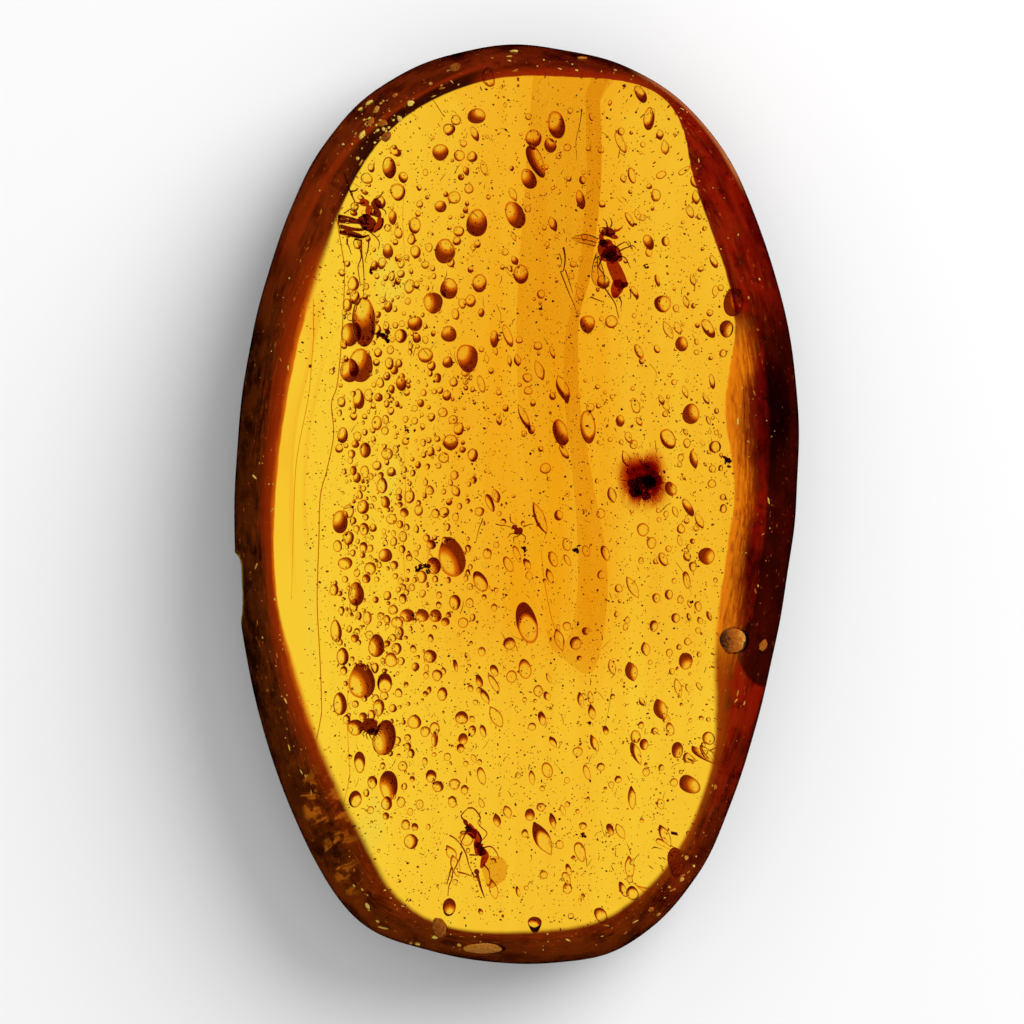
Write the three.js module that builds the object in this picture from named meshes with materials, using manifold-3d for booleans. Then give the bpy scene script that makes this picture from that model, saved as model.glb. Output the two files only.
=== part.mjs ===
// A polished piece of amber: a flat oval pebble, 42 x 26 x 8 mm, with a broad clear window on top,
// rounded sides, a flat base to lie on and one small flake missing from its left side.
// Millimetres, +Z up. The origin is at the middle of the base; +Y is the length.
import * as THREE from "three";
import { mergeVertices } from "three/addons/utils/BufferGeometryUtils.js";
import Module from "manifold-3d";

// Driving dimensions
const THICKNESS = 8.0; // base to the middle of the window
const CROWN = 0.35; // how much the window bulges above its own edge
const GIRDLE = 4.3; // height of the widest line round the sides
const ROUNDNESS = 2.2; // exponent of the side's curve: 2 is an ellipse, more is squarer
const SEGMENTS = 120; // points round the stone
const WINDOW_ROWS = 4; // rings of faces across half of the window
const SHOULDER_ROWS = 9; // rings from the window's edge to the girdle
const UNDER_ROWS = 9; // rings from the girdle to the base's edge
const BASE_ROWS = 2; // rings across half of the base

// Stations round the widest line, anticlockwise seen from above, from the right-hand side:
// x and y, then how far in the top shoulder and the underside's curve reach.
const STATIONS = [
  [12.8, 0.5, 3.3, 3.0],
  [12.85, 4.6, 3.9, 3.1],
  [12.1, 9.6, 4.5, 3.6],
  [10.0, 15.3, 4.2, 3.6],
  [7.0, 18.9, 2.6, 2.6],
  [2.6, 20.75, 2.0, 2.0],
  [-2.0, 20.85, 2.2, 2.2],
  [-6.3, 19.1, 3.6, 3.4],
  [-9.2, 15.9, 4.4, 4.2],
  [-11.2, 11.2, 3.4, 3.4],
  [-12.4, 6.0, 2.8, 2.9],
  [-12.9, 0.6, 2.7, 2.8],
  [-12.75, -4.2, 2.7, 2.8],
  [-12.1, -8.2, 2.9, 3.0],
  [-11.0, -12.1, 3.2, 3.3],
  [-9.3, -16.1, 3.6, 3.9],
  [-7.1, -19.1, 3.0, 3.4],
  [-3.4, -20.55, 2.2, 2.4],
  [1.5, -21.0, 2.0, 2.1],
  [5.2, -20.0, 2.3, 2.3],
  [8.3, -16.9, 2.6, 2.6],
  [10.3, -12.2, 2.7, 2.8],
  [11.75, -6.7, 3.0, 3.0],
  [12.5, -2.4, 3.2, 3.0],
];

// The flake lost from the left side, as the ball that the break's hollow belongs to
const FLAKE = {
  at: [-13.62, -4.3, 4.6],
  radii: [1.25, 2.3, 3.4],
  turn: THREE.MathUtils.degToRad(5),
};
const FLAKE_SIDES = 28;

const GOLDEN = new THREE.MeshStandardMaterial({
  color: 0xd98a12,
  roughness: 0.08,
  metalness: 0,
  transparent: true,
  opacity: 0.6,
});

// A closed smooth curve through the stations' values in two of their columns.
function ringCurve(first, second) {
  const points = STATIONS.map((s) => new THREE.Vector3(s[first], s[second], 0));
  return new THREE.CatmullRomCurve3(points, true, "catmullrom", 0.5);
}

const girdleLine = ringCurve(0, 1);
const reachLine = ringCurve(2, 3);

// The girdle's point, the inward direction and the two reaches at u, from 0 to 1 round the stone.
function stationAt(u) {
  const point = girdleLine.getPoint(u);
  const along = girdleLine.getTangent(u);
  const reach = reachLine.getPoint(u);
  return {
    point,
    inward: new THREE.Vector3(-along.y, along.x, 0),
    shoulder: reach.x,
    under: reach.y,
  };
}

// How far a rounded side has risen, as a share of its height, at a share of its reach.
function risen(share) {
  return Math.pow(1 - Math.pow(1 - share, ROUNDNESS), 1 / ROUNDNESS);
}

// The share of the reach at each ring of a rounded side, closer together where it is steep.
function ringShare(turn) {
  return 1 - Math.pow(Math.cos((turn * Math.PI) / 2), 2 / ROUNDNESS);
}

// A point of the surface, u round the stone and row rings down from the window's middle.
function surfacePoint(u, row) {
  const { point, inward, shoulder, under } = stationAt(u);
  const windowHeight = THICKNESS - CROWN;
  if (row <= WINDOW_ROWS) {
    const out = row / WINDOW_ROWS;
    const edge = point.clone().addScaledVector(inward, shoulder);
    return new THREE.Vector3(edge.x * out, edge.y * out, THICKNESS - CROWN * out * out);
  }
  const below = row - WINDOW_ROWS;
  if (below <= SHOULDER_ROWS) {
    const share = ringShare(1 - below / SHOULDER_ROWS);
    const place = point.clone().addScaledVector(inward, shoulder * share);
    return place.setZ(GIRDLE + (windowHeight - GIRDLE) * risen(share));
  }
  const lower = below - SHOULDER_ROWS;
  if (lower <= UNDER_ROWS) {
    const share = ringShare(lower / UNDER_ROWS);
    const place = point.clone().addScaledVector(inward, under * share);
    return place.setZ(GIRDLE * (1 - risen(share)));
  }
  const out = (WINDOW_ROWS + SHOULDER_ROWS + UNDER_ROWS + BASE_ROWS - row) / BASE_ROWS;
  const foot = point.clone().addScaledVector(inward, under);
  return new THREE.Vector3(foot.x * out, foot.y * out, 0);
}

// The whole pebble: a ball's grid of faces, with its points moved onto the stone's surface.
function pebble() {
  const rows = WINDOW_ROWS + SHOULDER_ROWS + UNDER_ROWS + BASE_ROWS;
  const ball = new THREE.SphereGeometry(1, SEGMENTS, rows);
  const places = ball.getAttribute("position");
  for (let row = 0; row <= rows; row++) {
    for (let column = 0; column <= SEGMENTS; column++) {
      const moved = surfacePoint((column % SEGMENTS) / SEGMENTS, row);
      places.setXYZ(row * (SEGMENTS + 1) + column, moved.x, moved.y, moved.z);
    }
  }
  return ball;
}

// The ball that the missing flake's hollow is cut with.
function flake() {
  const ball = new THREE.SphereGeometry(1, FLAKE_SIDES, FLAKE_SIDES / 2);
  ball.scale(...FLAKE.radii);
  ball.rotateZ(FLAKE.turn);
  return ball.translate(...FLAKE.at);
}

const wasm = await Module();
wasm.setup();

// A closed geometry as a solid that can be cut.
function solid(geometry) {
  geometry.deleteAttribute("normal");
  geometry.deleteAttribute("uv");
  const merged = mergeVertices(geometry, 1e-4);
  return new wasm.Manifold(
    new wasm.Mesh({
      numProp: 3,
      vertProperties: merged.getAttribute("position").array,
      triVerts: new Uint32Array(merged.index.array),
    }),
  );
}

// A cut solid as a geometry with flat-shaded faces.
function geometryOf(cut) {
  const mesh = cut.getMesh();
  const geometry = new THREE.BufferGeometry();
  geometry.setAttribute("position", new THREE.BufferAttribute(mesh.vertProperties, 3));
  geometry.setIndex(new THREE.BufferAttribute(mesh.triVerts, 1));
  geometry.computeVertexNormals();
  return geometry;
}

// The stone with its flake gone, moved so that the box round it has its middle over the origin.
function stone() {
  const geometry = geometryOf(solid(pebble()).subtract(solid(flake())));
  geometry.computeBoundingBox();
  const middle = geometry.boundingBox.getCenter(new THREE.Vector3());
  return geometry.translate(-middle.x, -middle.y, 0);
}

const amber = new THREE.Mesh(stone(), GOLDEN);
amber.name = "amber";

const part = new THREE.Group();
part.add(amber);
export default part;
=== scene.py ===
"""Insect in amber: the looks of a polished pebble of fossil resin and of all that is sealed in it.

The file is laid out as a Blender add-on and is run as a script. Blender's units are metres, +Z up, in the
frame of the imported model. Everything below is measured and built in millimetres; piece() scales it as it
finishes it.
"""

import math
import random

import bmesh
import bpy
import numpy as np
from bpy.props import FloatProperty, FloatVectorProperty, IntProperty, PointerProperty
from mathutils import Euler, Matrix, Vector


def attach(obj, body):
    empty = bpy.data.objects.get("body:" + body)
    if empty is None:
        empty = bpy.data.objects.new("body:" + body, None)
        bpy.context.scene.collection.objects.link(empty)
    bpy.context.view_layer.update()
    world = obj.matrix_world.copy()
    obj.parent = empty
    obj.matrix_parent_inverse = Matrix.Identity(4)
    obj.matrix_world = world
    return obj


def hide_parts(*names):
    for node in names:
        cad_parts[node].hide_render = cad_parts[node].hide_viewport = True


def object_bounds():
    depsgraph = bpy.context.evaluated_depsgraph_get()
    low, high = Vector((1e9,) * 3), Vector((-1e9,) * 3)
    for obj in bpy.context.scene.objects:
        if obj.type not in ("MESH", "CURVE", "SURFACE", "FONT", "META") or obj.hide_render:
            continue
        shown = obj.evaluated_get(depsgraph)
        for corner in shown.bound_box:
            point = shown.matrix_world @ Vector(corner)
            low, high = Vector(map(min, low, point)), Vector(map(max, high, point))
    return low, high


bl_info = {
    "name": "Insect in Amber",
    "version": (1, 0, 0),
    "blender": (4, 5, 0),
    "location": "View3D > Sidebar > Amber",
    "description": "Builds a polished amber pebble with the insects, bubbles and flow lines sealed in it",
    "category": "Object",
}

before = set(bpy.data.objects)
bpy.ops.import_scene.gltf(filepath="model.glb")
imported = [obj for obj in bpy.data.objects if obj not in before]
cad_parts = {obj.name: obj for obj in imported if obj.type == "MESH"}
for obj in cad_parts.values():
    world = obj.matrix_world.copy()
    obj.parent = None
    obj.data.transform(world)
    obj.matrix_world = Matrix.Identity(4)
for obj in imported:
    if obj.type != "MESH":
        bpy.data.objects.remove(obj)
CAD_LOW, CAD_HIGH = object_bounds()

MM = 0.001
BODY = "root"
THICKNESS = (CAD_HIGH.z - CAD_LOW.z) / MM
LENGTH = (CAD_HIGH.y - CAD_LOW.y) / MM
WIDTH = (CAD_HIGH.x - CAD_LOW.x) / MM

# The stone's stations, anticlockwise seen from above: x and y of its widest line, how far in the top
# shoulder and the underside's curve reach, and how far in the weathered skin and its dark outer part run, in
# millimetres.
STATIONS = np.array(
    [
        [12.8, 0.5, 3.3, 3.0, 2.95, 2.0],
        [12.85, 4.6, 3.9, 3.1, 3.4, 2.1],
        [12.1, 9.6, 4.5, 3.6, 2.35, 1.5],
        [10.0, 15.3, 4.2, 3.6, 2.1, 1.4],
        [7.0, 18.9, 2.6, 2.6, 0.55, 0.1],
        [2.6, 20.75, 2.0, 2.0, 1.4, 1.0],
        [-2.0, 20.85, 2.2, 2.2, 1.75, 1.4],
        [-6.3, 19.1, 3.6, 3.4, 2.0, 1.7],
        [-9.2, 15.9, 4.4, 4.2, 2.2, 1.6],
        [-11.2, 11.2, 3.4, 3.4, 2.35, 1.5],
        [-12.4, 6.0, 2.8, 2.9, 2.2, 1.5],
        [-12.9, 0.6, 2.7, 2.8, 2.0, 1.4],
        [-12.75, -4.2, 2.7, 2.8, 1.9, 1.5],
        [-12.1, -8.2, 2.9, 3.0, 2.2, 1.5],
        [-11.0, -12.1, 3.2, 3.3, 2.4, 1.7],
        [-9.3, -16.1, 3.6, 3.9, 2.55, 1.9],
        [-7.1, -19.1, 3.0, 3.4, 2.25, 1.6],
        [-3.4, -20.55, 2.2, 2.4, 1.5, 1.2],
        [1.5, -21.0, 2.0, 2.1, 1.75, 1.3],
        [5.2, -20.0, 2.3, 2.3, 1.7, 1.1],
        [8.3, -16.9, 2.6, 2.6, 1.55, 1.0],
        [10.3, -12.2, 2.7, 2.8, 1.55, 1.0],
        [11.75, -6.7, 3.0, 3.0, 2.8, 1.6],
        [12.5, -2.4, 3.2, 3.0, 3.0, 2.1],
    ]
)
GIRDLE = 4.3  # height of the widest line
CROWN = 0.35  # how much the window bulges above its own edge
ROUNDNESS = 2.2  # exponent of the side's curve
FLAKE_AT = np.array([-13.57, -4.2, 4.6])  # the ball that the missing flake's hollow belongs to
FLAKE_RADII = np.array([1.2, 2.15, 3.4])
BLUNT = 0.25  # exponent that squares off the hollow's upper end


class Socket:
    """A shader output that takes part in sums, so that a material's maths reads as Python."""

    def __init__(self, recipe, output):
        self.recipe = recipe
        self.output = output

    def _math(self, operation, *values):
        return self.recipe.node("ShaderNodeMath", {"operation": operation}, dict(enumerate(values)))

    def __add__(self, other):
        return self._math("ADD", self, other)

    __radd__ = __add__

    def __sub__(self, other):
        return self._math("SUBTRACT", self, other)

    def __rsub__(self, other):
        return self._math("SUBTRACT", other, self)

    def __mul__(self, other):
        return self._math("MULTIPLY", self, other)

    __rmul__ = __mul__

    def __truediv__(self, other):
        return self._math("DIVIDE", self, other)

    def __rtruediv__(self, other):
        return self._math("DIVIDE", other, self)

    def eased(self, low, high):
        """0 up to low, 1 from high on and a smooth step between them."""
        return self.recipe.node(
            "ShaderNodeMapRange", {"interpolation_type": "SMOOTHSTEP"}, {0: self, 1: low, 2: high}
        )


class Recipe:
    """A material under construction."""

    def __init__(self, name):
        self.material = bpy.data.materials.new(name)
        self.material.use_nodes = True
        self.nodes = self.material.node_tree.nodes
        self.links = self.material.node_tree.links
        self.nodes.clear()

    def node(self, kind, settings=None, values=None, output=0):
        """A node of that kind. Settings are set first, then its sockets' values or links."""
        made = self.nodes.new(kind)
        for key, value in (settings or {}).items():
            setattr(made, key, value)
        for key, value in (values or {}).items():
            if isinstance(value, Socket):
                self.links.new(value.output, made.inputs[key])
            else:
                made.inputs[key].default_value = value
        return Socket(self, made.outputs[output]) if len(made.outputs) else made

    def mix(self, factor, first, second):
        return self.node("ShaderNodeMix", {"data_type": "RGBA"}, {0: factor, 6: first, 7: second}, output=2)

    def place(self):
        """Where a point is in the stone, in metres."""
        return self.node("ShaderNodeTexCoord", output=3)

    def stretched(self, x, y, z):
        """The place with each axis scaled, for patterns that run along the stone."""
        return self.node("ShaderNodeMapping", {}, {"Vector": self.place(), "Scale": (x, y, z)})

    def noise(self, scale, detail=2.0, vector=None, roughness=0.5, swirl=0.0):
        values = {"Vector": vector or self.place(), "Scale": scale, "Detail": detail}
        values.update({"Roughness": roughness, "Distortion": swirl})
        return self.node("ShaderNodeTexNoise", {}, values)

    def attribute(self, name, output=2):
        """A number that the mesh holds for each point, or with output 1 a vector."""
        return self.node("ShaderNodeAttribute", {"attribute_name": name}, output=output)

    def along_rim(self, along, across):
        """A vector for patterns that follow the rim, by how often they change along and across it."""
        values = {"Vector": self.attribute("rim", 1), "Scale": (along, along, across)}
        return self.node("ShaderNodeMapping", {}, values)

    def finish(self, surface, volume=None):
        values = {"Surface": surface}
        if volume is not None:
            values["Volume"] = volume
        self.node("ShaderNodeOutputMaterial", {}, values)
        return self.material


class Shape:
    """The points and faces of one piece while it is put together, in millimetres, with each point's tone."""

    def __init__(self):
        self.points = []
        self.faces = []
        self.tones = []
        self.count = 0

    def add(self, points, faces, tone=0.0):
        self.points.append(np.asarray(points, float))
        self.tones.append(np.broadcast_to(np.asarray(tone, float), len(points)))
        self.faces.append(np.asarray(faces, int) + self.count)
        self.count += len(points)

    def ball(self, centre, radii, turn=(0, 0, 0), level=3, tone=0.0, lumps=0.0, seed=0):
        """An ellipsoid, turned by degrees about X, Y and Z and made lumpy by a share of its size."""
        points, faces = unit_ball(level)
        if lumps:
            points = points * (1 + lumps * waves(points * 2.2, seed))[:, None]
        self.add(turned(points * radii, turn) + centre, faces, tone)

    def limb(self, path, radii, sides=8, tone=0.0, smooth=6):
        """A tapered round limb along a smooth line through the path's points."""
        points, faces = tube(path, radii, sides, smooth)
        self.add(points, faces, tone)

    def all_points(self):
        return np.vstack(self.points)

    def all_faces(self):
        return [tuple(face) for block in self.faces for face in block.tolist()]


BALLS = {}


def unit_ball(level):
    if level not in BALLS:
        sphere = bmesh.new()
        bmesh.ops.create_icosphere(sphere, subdivisions=level, radius=1)
        points = np.array([v.co for v in sphere.verts])
        faces = np.array([[v.index for v in f.verts] for f in sphere.faces])
        sphere.free()
        BALLS[level] = points, faces
    return BALLS[level]


def turned(points, degrees):
    matrix = np.array(Euler([math.radians(d) for d in degrees]).to_matrix())
    return points @ matrix.T


def waves(points, seed):
    """A smooth bumpy field between about -1 and 1, made of a few crossing waves."""
    rng = np.random.default_rng(seed)
    total = np.zeros(len(points))
    for k in range(6):
        direction = rng.normal(size=3)
        direction /= np.linalg.norm(direction)
        total += np.sin(points @ direction * (1.5 + 0.6 * k) + rng.uniform(0, 6.3)) / 3.5
    return total


def smooth_line(path, steps):
    """Points at even shares along a smooth curve through the path's points."""
    path = np.asarray(path, float)
    ends = np.vstack([2 * path[0] - path[1], path, 2 * path[-1] - path[-2]])
    place = np.linspace(0, len(path) - 1, steps * (len(path) - 1) + 1)
    first = np.minimum(place.astype(int), len(path) - 2)
    w = (place - first)[:, None]
    p0, p1, p2, p3 = (ends[first + k] for k in range(4))
    return hermite(p0, p1, p2, p3, w)


def hermite(p0, p1, p2, p3, w):
    t0 = 0.5 * (p2 - p0)
    t1 = 0.5 * (p3 - p1)
    return p1 + t0 * w + (3 * (p2 - p1) - 2 * t0 - t1) * w**2 + (2 * (p1 - p2) + t0 + t1) * w**3


def closed_curve(stations, u):
    """Smooth values between closed rows of stations, at shares u of the way round."""
    count = len(stations)
    place = (u % 1.0) * count
    first = np.floor(place).astype(int)
    p0, p1, p2, p3 = (stations[(first + k) % count] for k in (-1, 0, 1, 2))
    return hermite(p0, p1, p2, p3, (place - first)[:, None])


def tube(path, radii, sides, smooth):
    """A closed round tube along a smooth line, tapering through the radii given for the path's points."""
    path = np.asarray(path, float)
    radii = np.broadcast_to(np.asarray(radii, float), len(path))
    line = smooth_line(path, smooth)
    width = np.interp(np.linspace(0, len(path) - 1, len(line)), np.arange(len(path)), radii)
    along = np.gradient(line, axis=0)
    along /= np.linalg.norm(along, axis=1)[:, None] + 1e-9
    across = np.cross(along, (0.13, 0.21, 0.97))
    across /= np.linalg.norm(across, axis=1)[:, None] + 1e-9
    upward = np.cross(across, along)
    angle = np.arange(sides) * 2 * np.pi / sides
    ring = np.cos(angle)[None, :, None] * across[:, None] + np.sin(angle)[None, :, None] * upward[:, None]
    points = (line[:, None] + ring * width[:, None, None]).reshape(-1, 3)
    ends = [line[0] - along[0] * width[0] * 0.6, line[-1] + along[-1] * width[-1] * 0.6]
    faces = ring_triangles(len(line), sides, len(points), len(points) + 1)
    return np.vstack([points, ends]), faces


def ring_triangles(rows, sides, first_pole, last_pole):
    """Triangles of closed rings one after another, with a fan to a pole at each end."""
    k = np.arange(sides)
    n = (k + 1) % sides
    row = (np.arange(rows - 1) * sides)[:, None]
    one = np.stack([row + k, row + sides + k, row + sides + n], axis=-1).reshape(-1, 3)
    two = np.stack([row + k, row + sides + n, row + n], axis=-1).reshape(-1, 3)
    last = (rows - 1) * sides
    start = np.stack([np.full(sides, first_pole), k, n], axis=-1)
    end = np.stack([np.full(sides, last_pole), last + n, last + k], axis=-1)
    return np.vstack([start, one, two, end])


def sheet(edge_a, edge_b, columns, thickness, bulge=0.0, steps=6):
    """A thin closed solid between two smooth edges, thinnest along its rim and bulging upwards by bulge."""
    a = smooth_line(edge_a, steps)
    b = smooth_line(edge_b, steps)
    share = np.linspace(0, 1, columns)[None, :, None]
    grid = a[:, None] * (1 - share) + b[:, None] * share
    rows = len(grid)
    across = np.sin(np.linspace(0, np.pi, columns))[None, :]
    along = np.sin(np.linspace(0, np.pi, rows))[:, None]
    lens = np.sqrt(across * along)
    grid[:, :, 2] += bulge * lens
    half = (0.08 + 0.92 * lens) * thickness / 2
    upper, lower = grid.copy(), grid.copy()
    upper[:, :, 2] += half
    lower[:, :, 2] -= half
    points = np.vstack([upper.reshape(-1, 3), lower.reshape(-1, 3)])
    index = np.arange(rows * columns).reshape(rows, columns)
    under = index + rows * columns
    quads = [quads_of(index), quads_of(under)[:, ::-1]]
    rim = np.concatenate([index[0, :-1], index[:-1, -1], index[-1, :0:-1], index[:0:-1, 0]])
    shadow = rim + rows * columns
    quads.append(np.stack([rim, np.roll(rim, -1), np.roll(shadow, -1), shadow], axis=-1)[:, ::-1])
    return outward(points, np.vstack(quads))


def quads_of(index):
    """The four corners of each cell of a grid of point numbers."""
    corners = [index[:-1, :-1], index[:-1, 1:], index[1:, 1:], index[1:, :-1]]
    return np.stack(corners, axis=-1).reshape(-1, 4)


def outward(points, faces):
    """Points and faces, with the faces turned over if they point into the solid."""
    p, q, r = (points[faces[:, k]] for k in range(3))
    s = points[faces[:, -1]]
    volume = (np.cross(p, q) * r).sum() + (np.cross(p, r) * s).sum()
    return points, faces if volume > 0 else faces[:, ::-1]


def piece(name, shape, material, smooth=True):
    """A finished mesh piece that rides on the stone, from a shape in millimetres."""
    mesh = bpy.data.meshes.new(name)
    mesh.from_pydata((shape.all_points() * MM).tolist(), [], shape.all_faces())
    mesh.polygons.foreach_set("use_smooth", [smooth] * len(mesh.polygons))
    tone = np.concatenate(shape.tones).astype(np.float32)
    mesh.attributes.new("tone", "FLOAT", "POINT").data.foreach_set("value", tone)
    mesh.materials.append(material)
    made = bpy.data.objects.new(name, mesh)
    bpy.context.scene.collection.objects.link(made)
    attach(made, BODY)
    return made


# The stone


def risen(share):
    """How high the side has risen, as a share, where it reaches in by that share."""
    return (1 - (1 - share) ** ROUNDNESS) ** (1 / ROUNDNESS)


def ring_share(turn):
    return 1 - np.cos(turn * np.pi / 2) ** (2 / ROUNDNESS)


def girdle_frame(segments):
    """Stations, points of the widest line and inward directions at even steps round the stone."""
    u = np.arange(segments) / segments
    here = closed_curve(STATIONS, u)
    step = 1e-4
    along = closed_curve(STATIONS, u + step)[:, :2] - closed_curve(STATIONS, u - step)[:, :2]
    along /= np.linalg.norm(along, axis=1)[:, None]
    return here, here[:, :2], np.stack([-along[:, 1], along[:, 0]], axis=1)


def stone_rings(segments, window, shoulder, under, base):
    """Rings of points down the stone, from its window's middle to its base's, as one array."""
    here, girdle, inward = girdle_frame(segments)
    window_height = THICKNESS - CROWN
    rings = []
    window_edge = girdle + inward * here[:, 2:3]
    for row in range(1, window + 1):
        out = row / window
        rings.append(np.column_stack([window_edge * out, np.full(segments, THICKNESS - CROWN * out**2)]))
    for row in range(1, shoulder + 1):
        share = ring_share(1 - row / shoulder)
        height = GIRDLE + (window_height - GIRDLE) * risen(share)
        rings.append(np.column_stack([girdle + inward * here[:, 2:3] * share, np.full(segments, height)]))
    foot = girdle + inward * here[:, 3:4]
    for row in range(1, under + 1):
        share = ring_share(row / under)
        height = GIRDLE * (1 - risen(share))
        rings.append(np.column_stack([girdle + inward * here[:, 3:4] * share, np.full(segments, height)]))
    for row in range(base - 1, 0, -1):
        rings.append(np.column_stack([foot * (row / base), np.zeros(segments)]))
    return np.array(rings)


def depth_in(points, segments=960):
    """How far in from the widest line each point lies, how far the skin and its dark part reach there, and
    the place along the widest line, as a share of the way round."""
    here, girdle, _ = girdle_frame(segments)
    nearest = np.empty(len(points), int)
    distance = np.empty(len(points))
    for start in range(0, len(points), 4000):
        x, y = points[start : start + 4000, :1], points[start : start + 4000, 1:2]
        lengths = (x - girdle[:, 0]) ** 2 + (y - girdle[:, 1]) ** 2
        nearest[start : start + 4000] = lengths.argmin(axis=1)
        distance[start : start + 4000] = np.sqrt(lengths.min(axis=1))
    return distance, here[nearest, 4], here[nearest, 5], nearest / segments


def top_height(x, y):
    """How high the stone's upper side is over a place."""
    here, girdle, _ = girdle_frame(240)
    lengths = np.hypot(girdle[:, 0] - x, girdle[:, 1] - y)
    share = min(1.0, lengths.min() / here[lengths.argmin(), 2])
    return GIRDLE + (THICKNESS - CROWN - GIRDLE) * risen(share)


def stone_shape():
    rings = stone_rings(560, 16, 38, 38, 8)
    rows, segments = rings.shape[:2]
    points = rings.reshape(-1, 3)
    ease = np.clip((points[:, 2] / THICKNESS) * 4, 0, 1)[:, None] ** 2
    points[:, :2] *= 1 + 0.0022 * ease * waves(points * 0.45, 4)[:, None] - 0.0022
    top, bottom = len(points), len(points) + 1
    shape = Shape()
    points = np.vstack([points, [0, 0, THICKNESS], [0, 0, 0]])
    shape.add(points, ring_triangles(rows, segments, top, bottom))
    return shape


def cut_flake(stone):
    """Take the missing flake out of the stone, blunt at its upper end and rippled as such a break is."""
    points, faces = unit_ball(6)
    away = np.linalg.norm(points - (0.55, 0.4, 0.75), axis=1)
    points = points * (1 + 0.008 * np.sin(away * 34))[:, None]
    blunt = points[:, 1] > 0
    points[blunt, 1] = points[blunt, 1] ** BLUNT
    mesh = bpy.data.meshes.new("flake")
    mesh.from_pydata(((points * FLAKE_RADII + FLAKE_AT) * MM).tolist(), [], faces.tolist())
    cutter = bpy.data.objects.new("flake", mesh)
    bpy.context.scene.collection.objects.link(cutter)
    cut = stone.modifiers.new("flake", "BOOLEAN")
    cut.operation = "DIFFERENCE"
    cut.object = cutter
    evaluated = stone.evaluated_get(bpy.context.evaluated_depsgraph_get())
    whole = stone.data
    stone.data = bpy.data.meshes.new_from_object(evaluated)
    stone.modifiers.clear()
    bpy.data.meshes.remove(whole)
    bpy.data.objects.remove(cutter)
    bpy.data.meshes.remove(mesh)


def mark_skin(stone):
    """Write where the weathered skin lies, how it runs round the stone and which faces are fresh."""
    count = len(stone.data.vertices)
    points = np.empty(count * 3)
    stone.data.vertices.foreach_get("co", points)
    points = points.reshape(-1, 3) / MM
    distance, skin, dark, share = depth_in(points)
    above = points[:, 2] > GIRDLE
    inset = np.maximum(np.where(above, skin, skin - 0.2), 0.3)
    hollow = (points - FLAKE_AT) / FLAKE_RADII
    hollow[:, 1] = np.where(hollow[:, 1] > 0, np.abs(hollow[:, 1]) ** (1 / BLUNT), hollow[:, 1])
    values = {
        "skin": distance / inset,
        "glow": np.clip((distance - dark) / np.maximum(skin - dark, 0.3), -2, 2),
        "reach": distance,
        "above": above,
        "fresh": np.clip((1.06 - np.linalg.norm(hollow, axis=1)) / 0.04, 0, 1),
    }
    for name, numbers in values.items():
        attribute = stone.data.attributes.new(name, "FLOAT", "POINT")
        attribute.data.foreach_set("value", numbers.astype(np.float32))
    turn = share * 2 * np.pi
    radius = (LENGTH + WIDTH) / 4
    across = distance + (points[:, 2] - GIRDLE) * 0.3
    rim = np.column_stack([radius * np.cos(turn), radius * np.sin(turn), across])
    attribute = stone.data.attributes.new("rim", "FLOAT_VECTOR", "POINT")
    attribute.data.foreach_set("vector", rim.astype(np.float32).ravel())


def amber_material():
    """Clear golden resin inside, and a dark weathered skin that only a little light comes through."""
    resin = bpy.context.scene.amber_resin
    recipe = Recipe("amber")
    clear = recipe.node(
        "ShaderNodeBsdfPrincipled",
        {},
        {
            "Base Color": flow_tint(recipe),
            "Roughness": 0.0,
            "IOR": resin.ior,
            "Transmission Weight": 1.0,
            "Specular Tint": (0.3, 0.3, 0.3, 1),
        },
    )
    skin = recipe.node(
        "ShaderNodeBsdfPrincipled",
        {},
        {
            "Base Color": skin_colour(recipe),
            "Roughness": 0.16,
            "IOR": resin.ior,
            "Transmission Weight": 0.5,
            "Specular Tint": (0.6, 0.5, 0.45, 1),
        },
    )
    ragged = recipe.attribute("skin") + (recipe.noise(900.0) - 0.5) * 0.05
    x, y, _ = in_millimetres(recipe)
    softness = 1 + (0 - y).eased(3.0, 9.0) * 3 + (0 - x).eased(7.5, 9.0) * y.eased(8.0, 10.0) * 3
    covered = 1 - ((ragged - 0.995) / softness).eased(-0.02, 0.02)
    covered = covered * (1 - recipe.attribute("fresh") * 0.25)
    surface = recipe.node("ShaderNodeMixShader", {}, {0: covered, 1: clear, 2: skin})
    volume = recipe.node(
        "ShaderNodeVolumeAbsorption",
        {},
        {"Color": tuple(resin.clear_colour) + (1,), "Density": resin.depth_of_colour},
    )
    return recipe.finish(surface, volume)


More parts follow.
